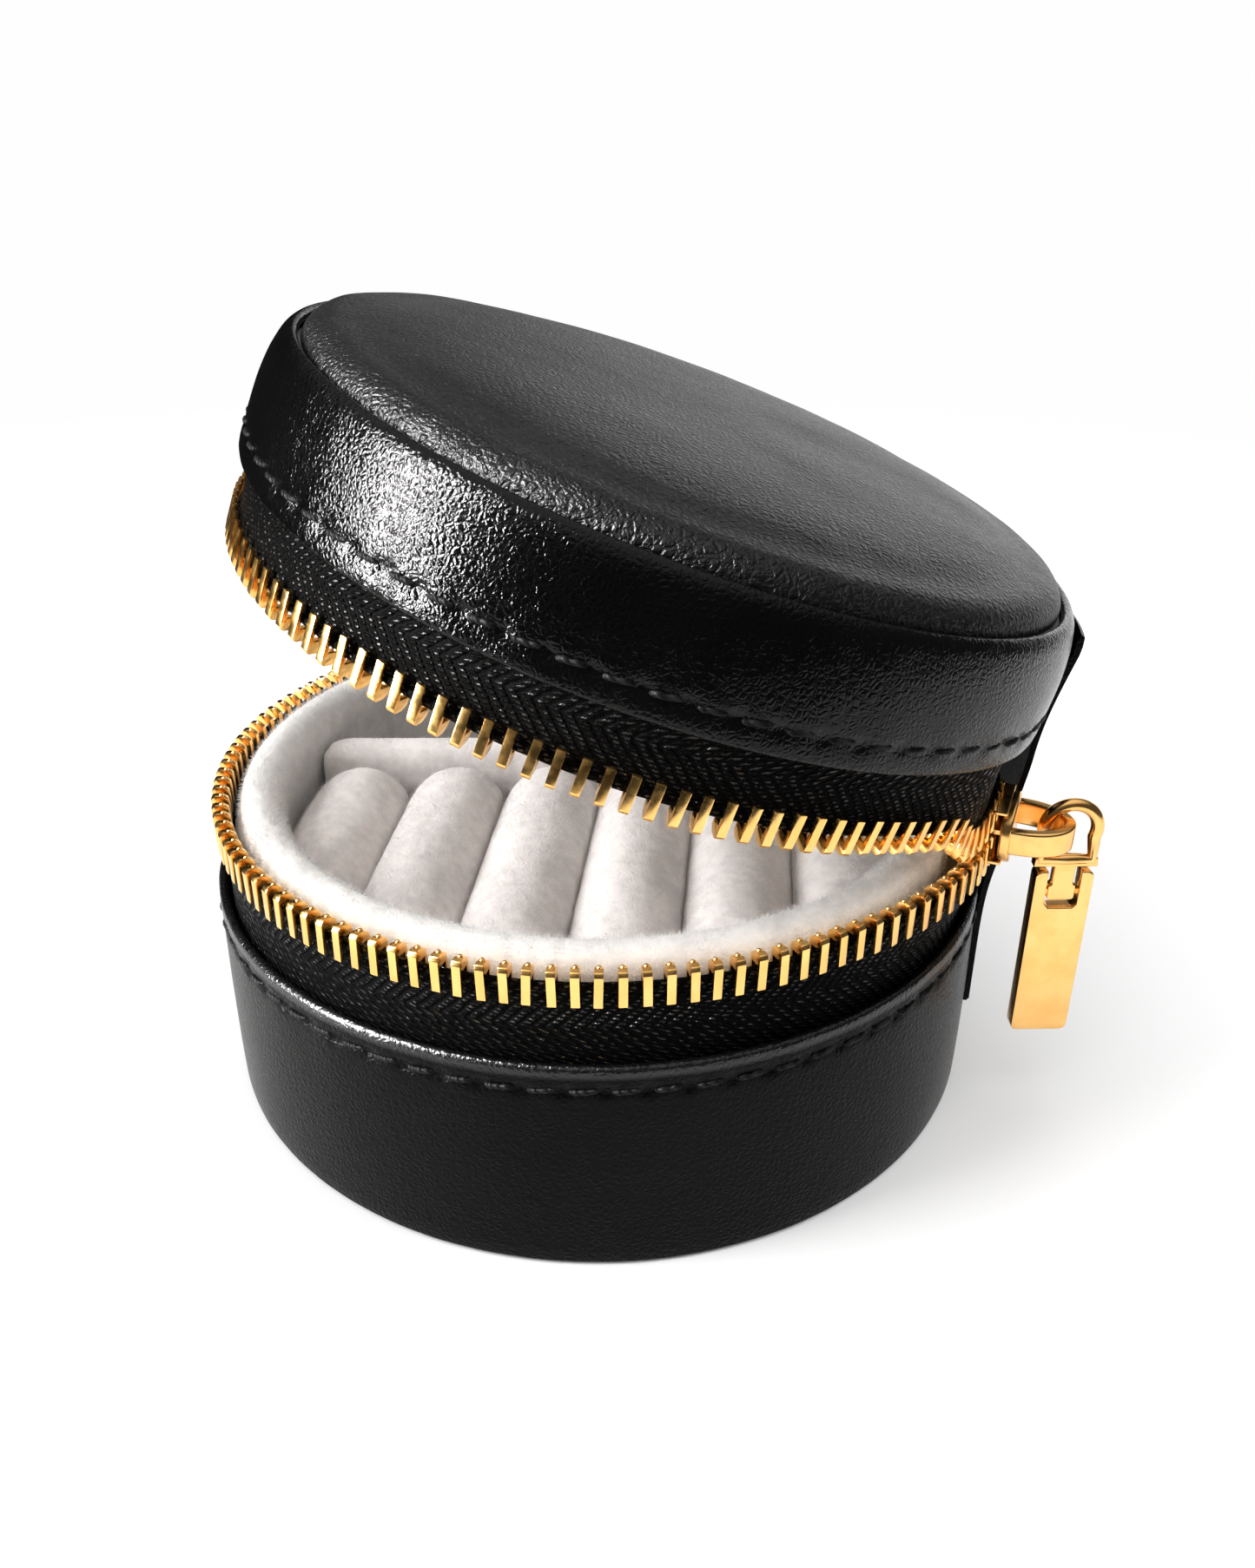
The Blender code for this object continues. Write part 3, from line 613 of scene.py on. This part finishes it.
def teeth(name, tip, up, node, start, bend=None):
    """A row of teeth, evenly spaced, each very slightly out of true."""
    form = tooth_form()
    bm = bmesh.new()
    span = 360.0 - 2.0 * start
    count = int(span / TOOTH_PITCH)
    first = HINGE_AZ + start + 0.5 * (span - (count - 1) * TOOTH_PITCH)
    shift = 0.0 if up else 0.5 * TOOTH_PITCH
    for i in range(count):
        seen = len(bm.verts)
        bm.from_mesh(form)
        bm.verts.ensure_lookup_table()
        az = first + shift + i * TOOTH_PITCH
        if az > HINGE_AZ + 360.0 - start:
            bmesh.ops.delete(bm, geom=bm.verts[seen:], context='VERTS')
            break
        turn = Matrix.Rotation(math.radians(az), 3, 'Z')
        tilt = Matrix.Rotation(random.uniform(-0.03, 0.03), 3, 'X')
        lift = random.uniform(-0.05, 0.05)
        middle = turn @ Vector((R_TOOTH_MID + flare(az), 0.0, tip))
        home = (bend(middle) - middle) if bend else Vector()
        weight = bend.weight(bend(middle)) if bend else 0.0
        swing = Matrix.Rotation(-AJAR * weight, 3, 'X')
        for v in bm.verts[seen:]:
            q = tilt @ Vector((v.co.x - R_TOOTH_MID, v.co.y, (v.co.z + lift) * (1.0 if up else -1.0)))
            v.co = middle + home + swing @ (turn @ q)
    bpy.data.meshes.remove(form)
    bmesh.ops.recalc_face_normals(bm, faces=bm.faces)
    ob = make(name, bm, GOLD_TEETH, 35.0)
    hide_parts(node)
    return ob


def zip_rows():
    low = tape("lower_tape", 18.0, 34.4, "lower_zip_tape")
    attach(low, "base")
    row = teeth("lower_teeth", 35.45, True, "lower_zip_teeth", ZIP_START)
    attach(row, "base")
    high = tape("upper_tape", 37.1, 50.0, "upper_zip_tape", ZIP_BEND)
    ZIP_BEND.hang(high)
    row = teeth("upper_teeth", 36.05, False, "upper_zip_teeth", ZIP_START, ZIP_BEND)
    ZIP_BEND.hang(row)


# ---------------------------------------------------------------------- velvet
SIM_SCALE = 20.0                                # the cloth is worked this many times larger
SIM_FRAMES = 20


def even_out(tmp, voxel):
    """Gives the object a mesh of even cells and returns where its points start."""
    remesh = tmp.modifiers.new("remesh", 'REMESH')
    remesh.mode = 'VOXEL'
    remesh.voxel_size = voxel * MM * SIM_SCALE
    graph = bpy.context.evaluated_depsgraph_get()
    even = bpy.data.meshes.new_from_object(tmp.evaluated_get(graph))
    tmp.modifiers.clear()
    tmp.data = even
    return [v.co.copy() for v in even.vertices]


def inflate(tmp, pressure):
    """Runs the cloth under inner pressure and returns the swollen mesh."""
    cloth = tmp.modifiers.new("cloth", 'CLOTH')
    cloth.settings.quality = 4
    cloth.settings.mass = 0.3
    cloth.settings.use_pressure = True
    cloth.settings.uniform_pressure_force = pressure
    cloth.settings.effector_weights.gravity = 0.0
    cloth.point_cache.frame_start = 1
    cloth.point_cache.frame_end = SIM_FRAMES
    for step in range(1, SIM_FRAMES + 1):
        bpy.context.scene.frame_set(step)
    graph = bpy.context.evaluated_depsgraph_get()
    after = bpy.data.meshes.new_from_object(tmp.evaluated_get(graph))
    tmp.modifiers.clear()
    return after


def puff(ob, voxel=0.9, pressure=3.0, cap=0.45):
    """Swells a padded piece as cloth under pressure; no point moves further than cap."""
    source = ob.data
    mesh = source.copy()
    mesh.transform(Matrix.Scale(SIM_SCALE, 4))
    tmp = bpy.data.objects.new(ob.name + "_sim", mesh)
    bpy.context.collection.objects.link(tmp)
    bpy.context.view_layer.objects.active = tmp
    before = even_out(tmp, voxel)
    after = inflate(tmp, pressure)
    limit = cap * MM * SIM_SCALE
    for v, old in zip(after.vertices, before):
        move = v.co - old
        if move.length > limit:
            move *= limit / move.length
        v.co = old + move
    after.transform(Matrix.Scale(1.0 / SIM_SCALE, 4))
    after.polygons.foreach_set("use_smooth", [True] * len(after.polygons))
    after.materials.clear()
    after.materials.append(source.materials[0])
    ob.data = after
    bpy.data.objects.remove(tmp, do_unlink=True)
    bpy.context.scene.frame_set(1)
    relax = ob.modifiers.new("relax", 'SMOOTH')
    relax.factor = 0.5
    relax.iterations = 3
    fine = ob.modifiers.new("fine", 'SUBSURF')
    fine.levels = fine.render_levels = 1


def settle(ob, node, body):
    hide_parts(*([node] if isinstance(node, str) else node))
    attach(ob, body)
    return ob


def end_x(y, inset):
    """Where a long edge of a leaning roll meets the round wall, less the inset."""
    slope = 1.0 + ROLL_LEAN ** 2
    start = y + ROLL_LEAN * X_LEAN
    return (start * ROLL_LEAN + math.sqrt(slope * R_FILL ** 2 - start ** 2)) / slope - inset


def ring_roll(index):
    """A stuffed roll: flat where it is glued down, domed on top and at both ends."""
    y_mid = (index - 2.5) * ROLL_PITCH
    tall = ROLL_TOP - ROLL_BASE
    half = 0.5 * ROLL_PITCH + 0.02
    side = tall - half
    arch = [(half * math.cos(math.radians(a)), side + half * math.sin(math.radians(a)))
            for a in range(0, 181, 12)]
    section = [(-half + 1.0, 0.0), (0.0, 0.0), (half - 1.0, 0.0), (half, 1.2), (half, 0.6 * side)]
    section += arch + [(-half, 0.6 * side), (-half, 1.2)]
    ends = [(0.0, 0.34), (0.25, 0.60), (0.9, 0.80), (2.0, 0.93), (3.4, 0.985), (5.0, 1.0)]
    mid_z = 0.42 * tall

    def place(x, y, z, scale):
        return Vector((x, y - ROLL_LEAN * (x - X_LEAN), ROLL_BASE + mid_z + (z - mid_z) * scale))
    rings = []
    for inset, scale in ends:
        rings.append([place(X_ROLL_BACK + inset, y_mid + y * scale, z, scale) for y, z in section])
    front = []
    for inset, scale in ends:
        front.append([place(end_x(y_mid + y * scale, inset), y_mid + y * scale, z, scale)
                      for y, z in section])
    front.reverse()
    for s in range(1, 10):
        rings.append([a.lerp(b, s / 10.0) for a, b in zip(rings[len(ends) - 1], front[0])])
    rings += front
    bm = bmesh.new()
    sweep_rings(bm, rings, False)
    ob = make("velvet_roll_%d" % (index + 1), bm, VELVET_ROLL, 180.0)
    puff(ob, cap=0.30)
    return settle(ob, "ring_roll_%d" % (index + 1), "base")


def pad_block():
    """Foam block the rolls stand on: flat at the back, round along the wall, its edges soft."""
    reach = math.acos(X_ROLL_BACK / R_FILL)
    outline = []
    for s in range(49):
        turn = reach * (s / 24.0 - 1.0)
        outline.append((R_FILL * math.cos(turn), R_FILL * math.sin(turn)))
    (x, y_end), steps = outline[-1], 16
    outline += [(x, y_end * (1.0 - 2.0 * s / steps)) for s in range(1, steps)]
    rows = [(3.9, 0.965), (4.2, 0.99), (5.0, 1.0), (10.0, 1.0), (14.9, 1.0), (15.7, 0.99), (16.0, 0.965)]
    middle = 0.5 * (R_FILL + X_ROLL_BACK)
    bm = bmesh.new()
    sweep_rings(bm, [[Vector((middle + (x - middle) * k, y * k, z)) for x, y in outline]
                     for z, k in rows], False)
    ob = make("foam_block", bm, FOAM, 70.0)
    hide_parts("ring_pad_base")
    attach(ob, "base")


def divider():
    half = 0.5 * (X_DIV_FRONT - X_DIV_BACK) - 0.1
    mid = 0.5 * (X_DIV_FRONT + X_DIV_BACK)
    low, top = 3.9, Z_DIV_TOP
    corner = 1.9
    section = [(-half, low), (half, low), (half, 12.0), (half, 20.0), (half, 25.0)]
    section += arc(half - corner, top - corner, corner, 0.0, 90.0, 5)
    section += [(0.0, top + 0.12)]
    section += arc(-half + corner, top - corner, corner, 90.0, 180.0, 5)
    section += [(-half, 25.0), (-half, 20.0), (-half, 12.0)]
    ends = [(0.0, 0.86), (0.5, 0.94), (1.4, 0.985), (3.0, 1.0)]
    mid_z = 0.5 * (low + top)

    def row(side, inset, scale):
        pts = []
        for x, z in section:
            px = mid + x * scale
            reach = math.sqrt(R_FILL ** 2 - px ** 2) - inset
            pts.append(Vector((px, side * reach, mid_z + (z - mid_z) * (0.5 + 0.5 * scale))))
        return pts
    left = [row(-1.0, i, s) for i, s in ends]
    right = [row(1.0, i, s) for i, s in reversed(ends)]
    middle = [[a.lerp(b, s / 24.0) for a, b in zip(left[-1], right[0])] for s in range(1, 24)]
    bm = bmesh.new()
    sweep_rings(bm, left + middle + right, False)
    ob = make("velvet_divider", bm, VELVET_ROLL, 180.0)
    puff(ob, cap=0.30)
    return settle(ob, "compartment_divider", "base")


def base_rim():
    low = [(37.55, 3.0), (41.0, 3.0)]
    outer = [(41.0, 12.0), (41.0, 20.0), (41.05, 28.0), (41.4, 30.6), (41.75, 32.2), (41.75, 33.7),
             (41.3, 35.0), (40.4, 35.75), (39.4, 35.9), (38.4, 35.5), (37.6, 34.6), (37.15, 33.2),
             (37.1, 31.5), (37.3, 29.0), (37.5, 26.0), (37.55, 20.0), (37.55, 12.0)]
    ob = turned("velvet_rim", low + spline(outer, 2), VELVET_RIM, 192, sharp=180.0)
    puff(ob, 1.0, 2.5, 0.25)
    return settle(ob, "base_rim_padding", "base")


def lid_lining():
    rim = [(37.5, 54.0), (37.4, 48.0), (37.3, 42.0), (37.2, 39.8), (37.55, 38.3), (38.3, 37.6),
           (39.2, 37.9), (39.9, 39.2), (40.5, 41.0), (40.95, 42.4), (41.0, 46.0), (41.0, 50.0),
           (41.0, 54.0)]
    ob = turned("velvet_lid_rim", rim, VELVET_RIM, 144, place=on_lid, sharp=180.0)
    puff(ob, 1.1, 2.5, 0.2)
    settle(ob, "lid_rim_padding", "lid")
    pad = [(0.0, 54.1), (20.0, 54.1), (36.2, 54.1), (36.8, 53.2), (36.6, 51.9), (35.4, 50.9),
           (33.0, 50.3), (28.0, 50.0), (18.0, 49.8), (8.0, 49.75), (0.0, 49.75)]
    ob = dome("velvet_lid_pad", spline(pad, 2), VELVET_SHADED, 120, None, on_lid, 180.0)
    puff(ob, 1.2, 2.0, 0.25)
    settle(ob, "lid_lining_pad", "lid")


def floor_lining():
    line = [(0.0, 3.45), (12.0, 3.5), (24.0, 3.5), (32.0, 3.45), (36.0, 3.4), (36.8, 3.2),
            (36.8, 2.85), (18.0, 2.85), (0.0, 2.85)]
    ob = dome("velvet_floor", line, VELVET_SHADED, 96)
    settle(ob, "base_floor_lining", "base")


def blade(bm, root, normal, length, rng):
    """One fibre: a thin three-cornered blade, combed the way its neighbours lean."""
    swirl = root * 90.0
    comb = Vector((noise.noise(swirl), noise.noise(swirl + Vector((7, 3, 1))),
                   noise.noise(swirl + Vector((2, 9, 4)))))
    lean = normal + 0.9 * comb + 0.45 * Vector([rng.uniform(-1, 1) for _ in range(3)])
    lean.normalize()
    side = lean.cross(Vector([rng.uniform(-1, 1) for _ in range(3)])).normalized()
    long = length * rng.uniform(0.55, 1.15) * MM
    half = 0.022 * MM
    root = root - normal * 0.02 * MM
    bm.faces.new([bm.verts.new(root - side * half), bm.verts.new(root + side * half),
                  bm.verts.new(root + lean * long)])


def pile(name, sources, count, length, mat, keep, body):
    """Short fibres standing out of the velvet wherever keep(place, normal) says so."""
    graph = bpy.context.evaluated_depsgraph_get()
    bm = bmesh.new()
    rng = random.Random(11)
    for ob in sources:
        mesh = bpy.data.meshes.new_from_object(ob.evaluated_get(graph))
        faces = [f for f in mesh.polygons if keep(f.center / MM, f.normal)]
        total = sum(f.area for f in faces)
        share = count // len(sources)
        for f in faces:
            want = share * f.area / total
            number = int(want) + (rng.random() < want - int(want))
            corners = [mesh.vertices[i].co for i in f.vertices]
            for _ in range(number):
                a, b = rng.random(), rng.random()
                low = corners[0].lerp(corners[1], a)
                high = corners[-1].lerp(corners[2 if len(corners) > 3 else -1], a)
                root = low.lerp(high, b)
                blade(bm, root, f.normal, length, rng)
        bpy.data.meshes.remove(mesh)
    ob = add_object(name, bm, mat)
    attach(ob, body)


# ---------------------------------------------------------------- slider, pull
def slider_frame(p):
    """From (out from the case, across, height) to the case's own axes."""
    turn = Matrix.Rotation(math.radians(SLIDER_AZ), 3, 'Z')
    return turn @ Vector(p)


def plate(bm, outline, place, low, high, bevel=0.0):
    """Adds a flat plate of an outline between two heights, its edges rounded."""
    part = bmesh.new()
    under, over = [[part.verts.new(Vector((u, v, t))) for u, v in outline] for t in (low, high)]
    part.faces.new(under)
    part.faces.new(over)
    count = len(outline)
    for i in range(count):
        k = (i + 1) % count
        part.faces.new((under[i], under[k], over[k], over[i]))
    bmesh.ops.recalc_face_normals(part, faces=part.faces)
    if bevel:
        edges = [e for e in part.edges if e.calc_face_angle(0.0) > 0.7]
        bmesh.ops.bevel(part, geom=edges, offset=bevel, segments=3, profile=0.6, affect='EDGES',
                        clamp_overlap=True)
    for v in part.verts:
        v.co = place(v.co)
    bmesh.ops.recalc_face_normals(part, faces=part.faces)
    mesh = bpy.data.meshes.new("part")
    part.to_mesh(mesh)
    part.free()
    bm.from_mesh(mesh)
    bpy.data.meshes.remove(mesh)


def slider():
    """Two shield-shaped plates joined by a neck, side lips that hug the teeth, and the arch."""
    bm = bmesh.new()
    z = SLIDER_Z
    shield = [(-4.3, -1.2), (-3.9, -2.2), (-2.6, -3.15), (1.5, -3.2), (3.2, -2.6), (4.2, -1.2),
              (4.3, 0.0), (4.2, 1.2), (3.2, 2.6), (1.5, 3.2), (-2.6, 3.15), (-3.9, 2.2), (-4.3, 1.2)]
    plate(bm, shield, lambda p: slider_frame((46.9 + p.z - 0.012 * p.x ** 2, p.x, z + p.y)),
          0.0, 1.15, 0.28)
    inner = [(0.78 * a, 0.94 * b) for a, b in shield]
    plate(bm, inner, lambda p: slider_frame((41.3 + p.z, p.x, z + p.y)), 0.0, 0.62, 0.18)
    neck = [(-2.3, -0.24), (2.3, -0.24), (2.3, 0.24), (-2.3, 0.24)]
    plate(bm, neck, lambda p: slider_frame((41.6 + p.z, p.x, z + p.y)), 0.0, 5.6)
    for side in (-1.0, 1.0):
        lip = [(-3.7, 2.75 * side), (3.2, 2.8 * side), (3.2, 3.25 * side), (-3.7, 3.15 * side)]
        plate(bm, lip, lambda p: slider_frame((45.7 + p.z, p.x, z + p.y)), 0.0, 1.5, 0.12)
    foot, reach, half, strip = 47.6, 6.4, 4.2, 1.2
    turns = [math.radians(-90.0 + 180.0 * i / 24.0) for i in range(25)]
    arch = [(foot + reach * math.cos(a) ** 0.85, half * math.sin(a)) for a in turns]
    arch += [(foot + (reach - strip) * math.cos(a) ** 0.85, (half - strip) * math.sin(a))
             for a in reversed(turns)]
    plate(bm, arch, lambda p: slider_frame((p.x, p.y, z + p.z)), -1.4, 1.4, 0.3)
    ob = make("slider_gold", bm, GOLD_PULL, 45.0)
    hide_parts("slider_body")
    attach(ob, "slider")


PULL_X, PULL_Y, PIVOT_Z = 19.0, 50.0, 27.8
RING_HALF, RING_TOP, RING_BAR, WIRE = 3.6, 39.1, 31.0, 0.72
TAB_HALF, TAB_TOP, TAB_LOW, NOTCH_HALF, NOTCH_DEPTH = 3.2, 30.6, 9.4, 1.8, 4.6


def upright(p):
    """From (across, height, thickness) in the pull's own upright plane to the case's axes."""
    return Vector((PULL_X - p.z, PULL_Y + p.x, p.y))


def link():
    """D-shaped ring with a straight bar, a stem and the T-shaped foot that hangs the tab."""
    bm = bmesh.new()
    bend = RING_HALF - WIRE
    path = [(-bend, RING_BAR + WIRE), (0.0, RING_BAR + WIRE), (bend, RING_BAR + WIRE)]
    path += arc(0.0, RING_TOP - RING_HALF, bend, -20.0, 200.0, 24)
    ring = []
    around = 12
    n = len(path)
    for i, (u, v) in enumerate(path):
        du = path[(i + 1) % n][0] - path[i - 1][0]
        dv = path[(i + 1) % n][1] - path[i - 1][1]
        size = math.hypot(du, dv)
        nu, nv = dv / size, -du / size
        turns = [2.0 * math.pi * k / around for k in range(around)]
        ring.append([upright(Vector((u + WIRE * nu * math.cos(a), v + WIRE * nv * math.cos(a),
                                     WIRE * math.sin(a)))) for a in turns])
    sweep_rings(bm, ring, True)
    wide, foot = RING_HALF - 0.1, PIVOT_Z - 1.0
    stem = [(-wide, RING_BAR), (-1.15, RING_BAR), (-1.15, foot + 2.0), (-1.5, foot + 1.8),
            (-1.5, foot + 0.2), (-1.2, foot), (1.2, foot), (1.5, foot + 0.2), (1.5, foot + 1.8),
            (1.15, foot + 2.0), (1.15, RING_BAR), (wide, RING_BAR), (wide - 0.1, RING_BAR + 1.1),
            (0.1 - wide, RING_BAR + 1.1)]
    plate(bm, stem, upright, -0.58, 0.58, 0.16)
    pin = [(-2.5, PIVOT_Z - 0.35), (2.5, PIVOT_Z - 0.35), (2.5, PIVOT_Z + 0.35), (-2.5, PIVOT_Z + 0.35)]
    plate(bm, pin, upright, -0.35, 0.35, 0.08)
    ob = make("pull_link_gold", bm, GOLD_PULL, 45.0)
    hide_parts("pull_link")
    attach(ob, "link")


def tab():
    """The long pull tab, its edges softly rounded and its top notched for the foot."""
    w, top, low = TAB_HALF, TAB_TOP, TAB_LOW
    floor_z, notch, soft = TAB_TOP - NOTCH_DEPTH, NOTCH_HALF, 0.75
    outline = arc(w - soft, low + soft, soft, -90.0, 0.0, 4)
    outline += arc(w - soft, top - soft, soft, 0.0, 90.0, 4)
    outline += [(notch, top), (notch, floor_z + 0.5), (notch - 0.5, floor_z), (0.5 - notch, floor_z),
                (-notch, floor_z + 0.5), (-notch, top)]
    outline += arc(soft - w, top - soft, soft, 90.0, 180.0, 4)
    outline += arc(soft - w, low + soft, soft, 180.0, 270.0, 4)
    bm = bmesh.new()
    plate(bm, outline, upright, -0.9, 0.9, 0.2)
    ob = make("pull_tab_gold", bm, GOLD_PULL, 45.0)
    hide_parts("pull_plate")
    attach(ob, "plate")


# ----------------------------------------------------------------------- stage
def repaint():
    """Better materials on the frame's own pieces that keep their CAD shape."""
    looks = {"base_bottom_panel": LEATHER_BASE, "base_board_shell": BOARD, "lid_board_shell": BOARD,
             "lid_top_padding": FOAM}
    for name, mat in looks.items():
        ob = frame["nodes"][name]
        for slot in ob.material_slots:
            slot.link = 'OBJECT'
            slot.material = mat


FLOOR_HALF, FADE_FROM, FADE_TO = 6.0, 0.16, 0.40


def floor():
    """Pale floor that fades out into the white room away from the case."""
    bm = bmesh.new()
    bmesh.ops.create_grid(bm, x_segments=1, y_segments=1, size=FLOOR_HALF)
    n = Nodes("white_floor")
    n.set(Base_Color=(0.76, 0.76, 0.76, 1.0), Roughness=0.9, Specular_IOR_Level=0.1)
    away = n.add("VectorMath", {0: n.position()}, operation='LENGTH').outputs["Value"]
    n.set(Alpha=n.remap(away, FADE_FROM, FADE_TO, 1.0, 0.0))
    add_object("floor", bm, n.mat)


CAMERA = dict(distance=178.59, height=36.579, turn=0.414, yaw=-1.155, pitch=8.936, roll=0.457,
              focal=1558.0, long_side=1806.0)


def view_axes(direction_right):
    """Camera place and axes: straight at the case's foot, then turned, tipped and rolled a little."""
    el = math.radians(CAMERA["height"])
    right = Vector(direction_right)
    ahead = Vector((0, 0, 1)).cross(right)
    place = (-ahead * math.cos(el) + Vector((0, 0, math.sin(el)))) * CAMERA["distance"]
    fwd = -place.normalized()
    up = right.cross(fwd)
    turn = Matrix.Rotation(math.radians(CAMERA["yaw"]), 3, up)
    fwd, right = turn @ fwd, turn @ right
    tip = Matrix.Rotation(math.radians(CAMERA["pitch"]), 3, right)
    fwd, up = tip @ fwd, tip @ up
    roll = Matrix.Rotation(math.radians(CAMERA["roll"]), 3, fwd)
    return place, roll @ right, roll @ up, fwd


def camera():
    psi = math.radians(CAMERA["turn"])
    place, right, up, fwd = view_axes((math.sin(psi), math.cos(psi), 0.0))
    data = bpy.data.cameras.new("camera")
    data.sensor_fit = 'AUTO'
    data.sensor_width = 36.0
    data.lens = CAMERA["focal"] / CAMERA["long_side"] * data.sensor_width
    data.clip_start = 0.005
    ob = bpy.data.objects.new("camera", data)
    bpy.context.collection.objects.link(ob)
    basis = Matrix((right, up, -fwd)).transposed().to_4x4()
    ob.matrix_world = Matrix.Translation(place * MM) @ basis
    bpy.context.scene.camera = ob


def lamp(name, place, aim, size, power, diffuse=True, glossy=True):
    data = bpy.data.lights.new(name, 'AREA')
    data.shape = 'RECTANGLE'
    data.size, data.size_y = size
    data.energy = power
    ob = bpy.data.objects.new(name, data)
    bpy.context.collection.objects.link(ob)
    ob.location = place
    ob.rotation_euler = (Vector(aim) - Vector(place)).to_track_quat('-Z', 'Y').to_euler()
    ob.visible_diffuse = diffuse
    ob.visible_glossy = glossy


def flag(name, corners):
    """A black card that only reflections see."""
    bm = bmesh.new()
    bm.faces.new([bm.verts.new(c) for c in corners])
    n = Nodes("black_card")
    n.set(Base_Color=(0.01, 0.01, 0.01, 1.0), Roughness=0.9, Specular_IOR_Level=0.0)
    ob = add_object(name, bm, n.mat)
    ob.visible_camera = ob.visible_diffuse = ob.visible_shadow = False


ROOM_WHITE = 0.99                               # what the eye sees
ROOM_FILL = 0.66                                # what lights the case
ROOM_GLOW, ROOM_DARK = 1.8, 0.08                # what reflections see, brightest part and darkest


def room():
    """White to the eye, grey as a light; to reflections bright low down behind and overhead."""
    world = bpy.data.worlds.new("room")
    world.use_nodes = True
    bpy.context.scene.world = world
    tree = world.node_tree
    back = tree.nodes["Background"]

    def node(kind, operation=None, a=None, b=None):
        item = tree.nodes.new("ShaderNode" + kind)
        if operation:
            item.operation = operation
        for socket, value in zip(item.inputs, (a, b)):
            if isinstance(value, bpy.types.NodeSocket):
                tree.links.new(value, socket)
            elif value is not None:
                socket.default_value = value
        return item

    def ramp(value, low, high, to_low, to_high):
        item = node("MapRange")
        item.interpolation_type = 'SMOOTHSTEP'
        tree.links.new(value, item.inputs["Value"])
        for key, number in (("From Min", low), ("From Max", high), ("To Min", to_low),
                            ("To Max", to_high)):
            item.inputs[key].default_value = number
        return item.outputs["Result"]

    towards = node("SeparateXYZ")
    tree.links.new(node("TexCoord").outputs["Generated"], towards.inputs[0])
    behind = ramp(towards.outputs[0], -0.55, -0.92, 0.0, 1.0)
    low_down = ramp(towards.outputs[2], 0.09, 0.26, 1.0, 0.10)
    to_the_right = ramp(towards.outputs[1], -0.04, 0.20, 0.30, 1.0)
    glow = node("Math", 'MULTIPLY', behind, low_down).outputs[0]
    glow = node("Math", 'MULTIPLY', glow, to_the_right).outputs[0]
    sky = ramp(towards.outputs[2], 0.5, 1.0, 0.0, 0.55)
    seen = node("Math", 'MAXIMUM', glow, sky).outputs[0]
    seen = node("Math", 'MULTIPLY', seen, ROOM_GLOW).outputs[0]
    seen = node("Math", 'ADD', seen, ROOM_DARK).outputs[0]
    ray = node("LightPath")
    mix = node("Mix")
    tree.links.new(ray.outputs["Is Glossy Ray"], mix.inputs[0])
    mix.inputs[2].default_value = ROOM_FILL
    tree.links.new(seen, mix.inputs[3])
    eye = node("Mix")
    tree.links.new(ray.outputs["Is Camera Ray"], eye.inputs[0])
    tree.links.new(mix.outputs[0], eye.inputs[2])
    eye.inputs[3].default_value = ROOM_WHITE
    tree.links.new(eye.outputs[0], back.inputs["Strength"])
    back.inputs["Color"].default_value = (1.0, 1.0, 1.0, 1.0)


def lights():
    """A tall strip that only gloss sees, a soft key, a fill, an overhead, and two black cards."""
    lamp("strip_front_left", (0.17, -0.47, 0.28), (0.0, 0.0, 0.05), (0.095, 0.64), 31.0, diffuse=False)
    lamp("key_left", (0.12, -0.58, 0.36), (0.0, 0.0, 0.03), (0.40, 0.40), 5.9, glossy=False)
    lamp("fill_right", (0.10, 0.60, 0.40), (0.0, 0.0, 0.03), (0.40, 0.40), 3.0, glossy=False)
    lamp("overhead", (0.02, 0.0, 0.85), (0.0, 0.0, 0.0), (0.8, 0.8), 3.6, glossy=False)
    flag("front_card", [(0.134, -0.35, 0.004), (0.60, -0.35, 0.004), (0.60, 0.35, 0.004),
                        (0.134, 0.35, 0.004)])
    flag("left_card", [(0.02, -0.17, 0.001), (-0.16, -0.05, 0.001), (-0.16, -0.05, 0.16),
                       (0.02, -0.17, 0.16)])


def main():
    base_wall()
    lid_wall()
    stitches("base_stitches", R_OUT - 0.12, Z_SEAM, "base_edge_stitching", "base")
    stitches("lid_stitches", R_OUT - 0.28, Z_LID_SEAM, "lid_edge_stitching", "lid", on_lid)
    lid_panel()
    strap()
    zip_rows()
    rolls = [ring_roll(i) for i in range(6)]
    pad_block()
    bar = divider()
    rim = base_rim()
    lid_lining()
    floor_lining()
    pile("rim_pile", [rim], 42000, 0.75, VELVET_RIM,
         lambda p, n: p.z > 30.0 and (n.z > -0.1 or math.hypot(p.x, p.y) < 39.0), "base")
    pile("roll_pile", rolls + [bar], 42000, 0.5, VELVET_ROLL, lambda p, n: n.z > 0.05, "base")
    slider()
    link()
    tab()
    repaint()
    floor()
    camera()
    room()
    lights()
    bpy.context.scene.view_settings.view_transform = 'Standard'


main()
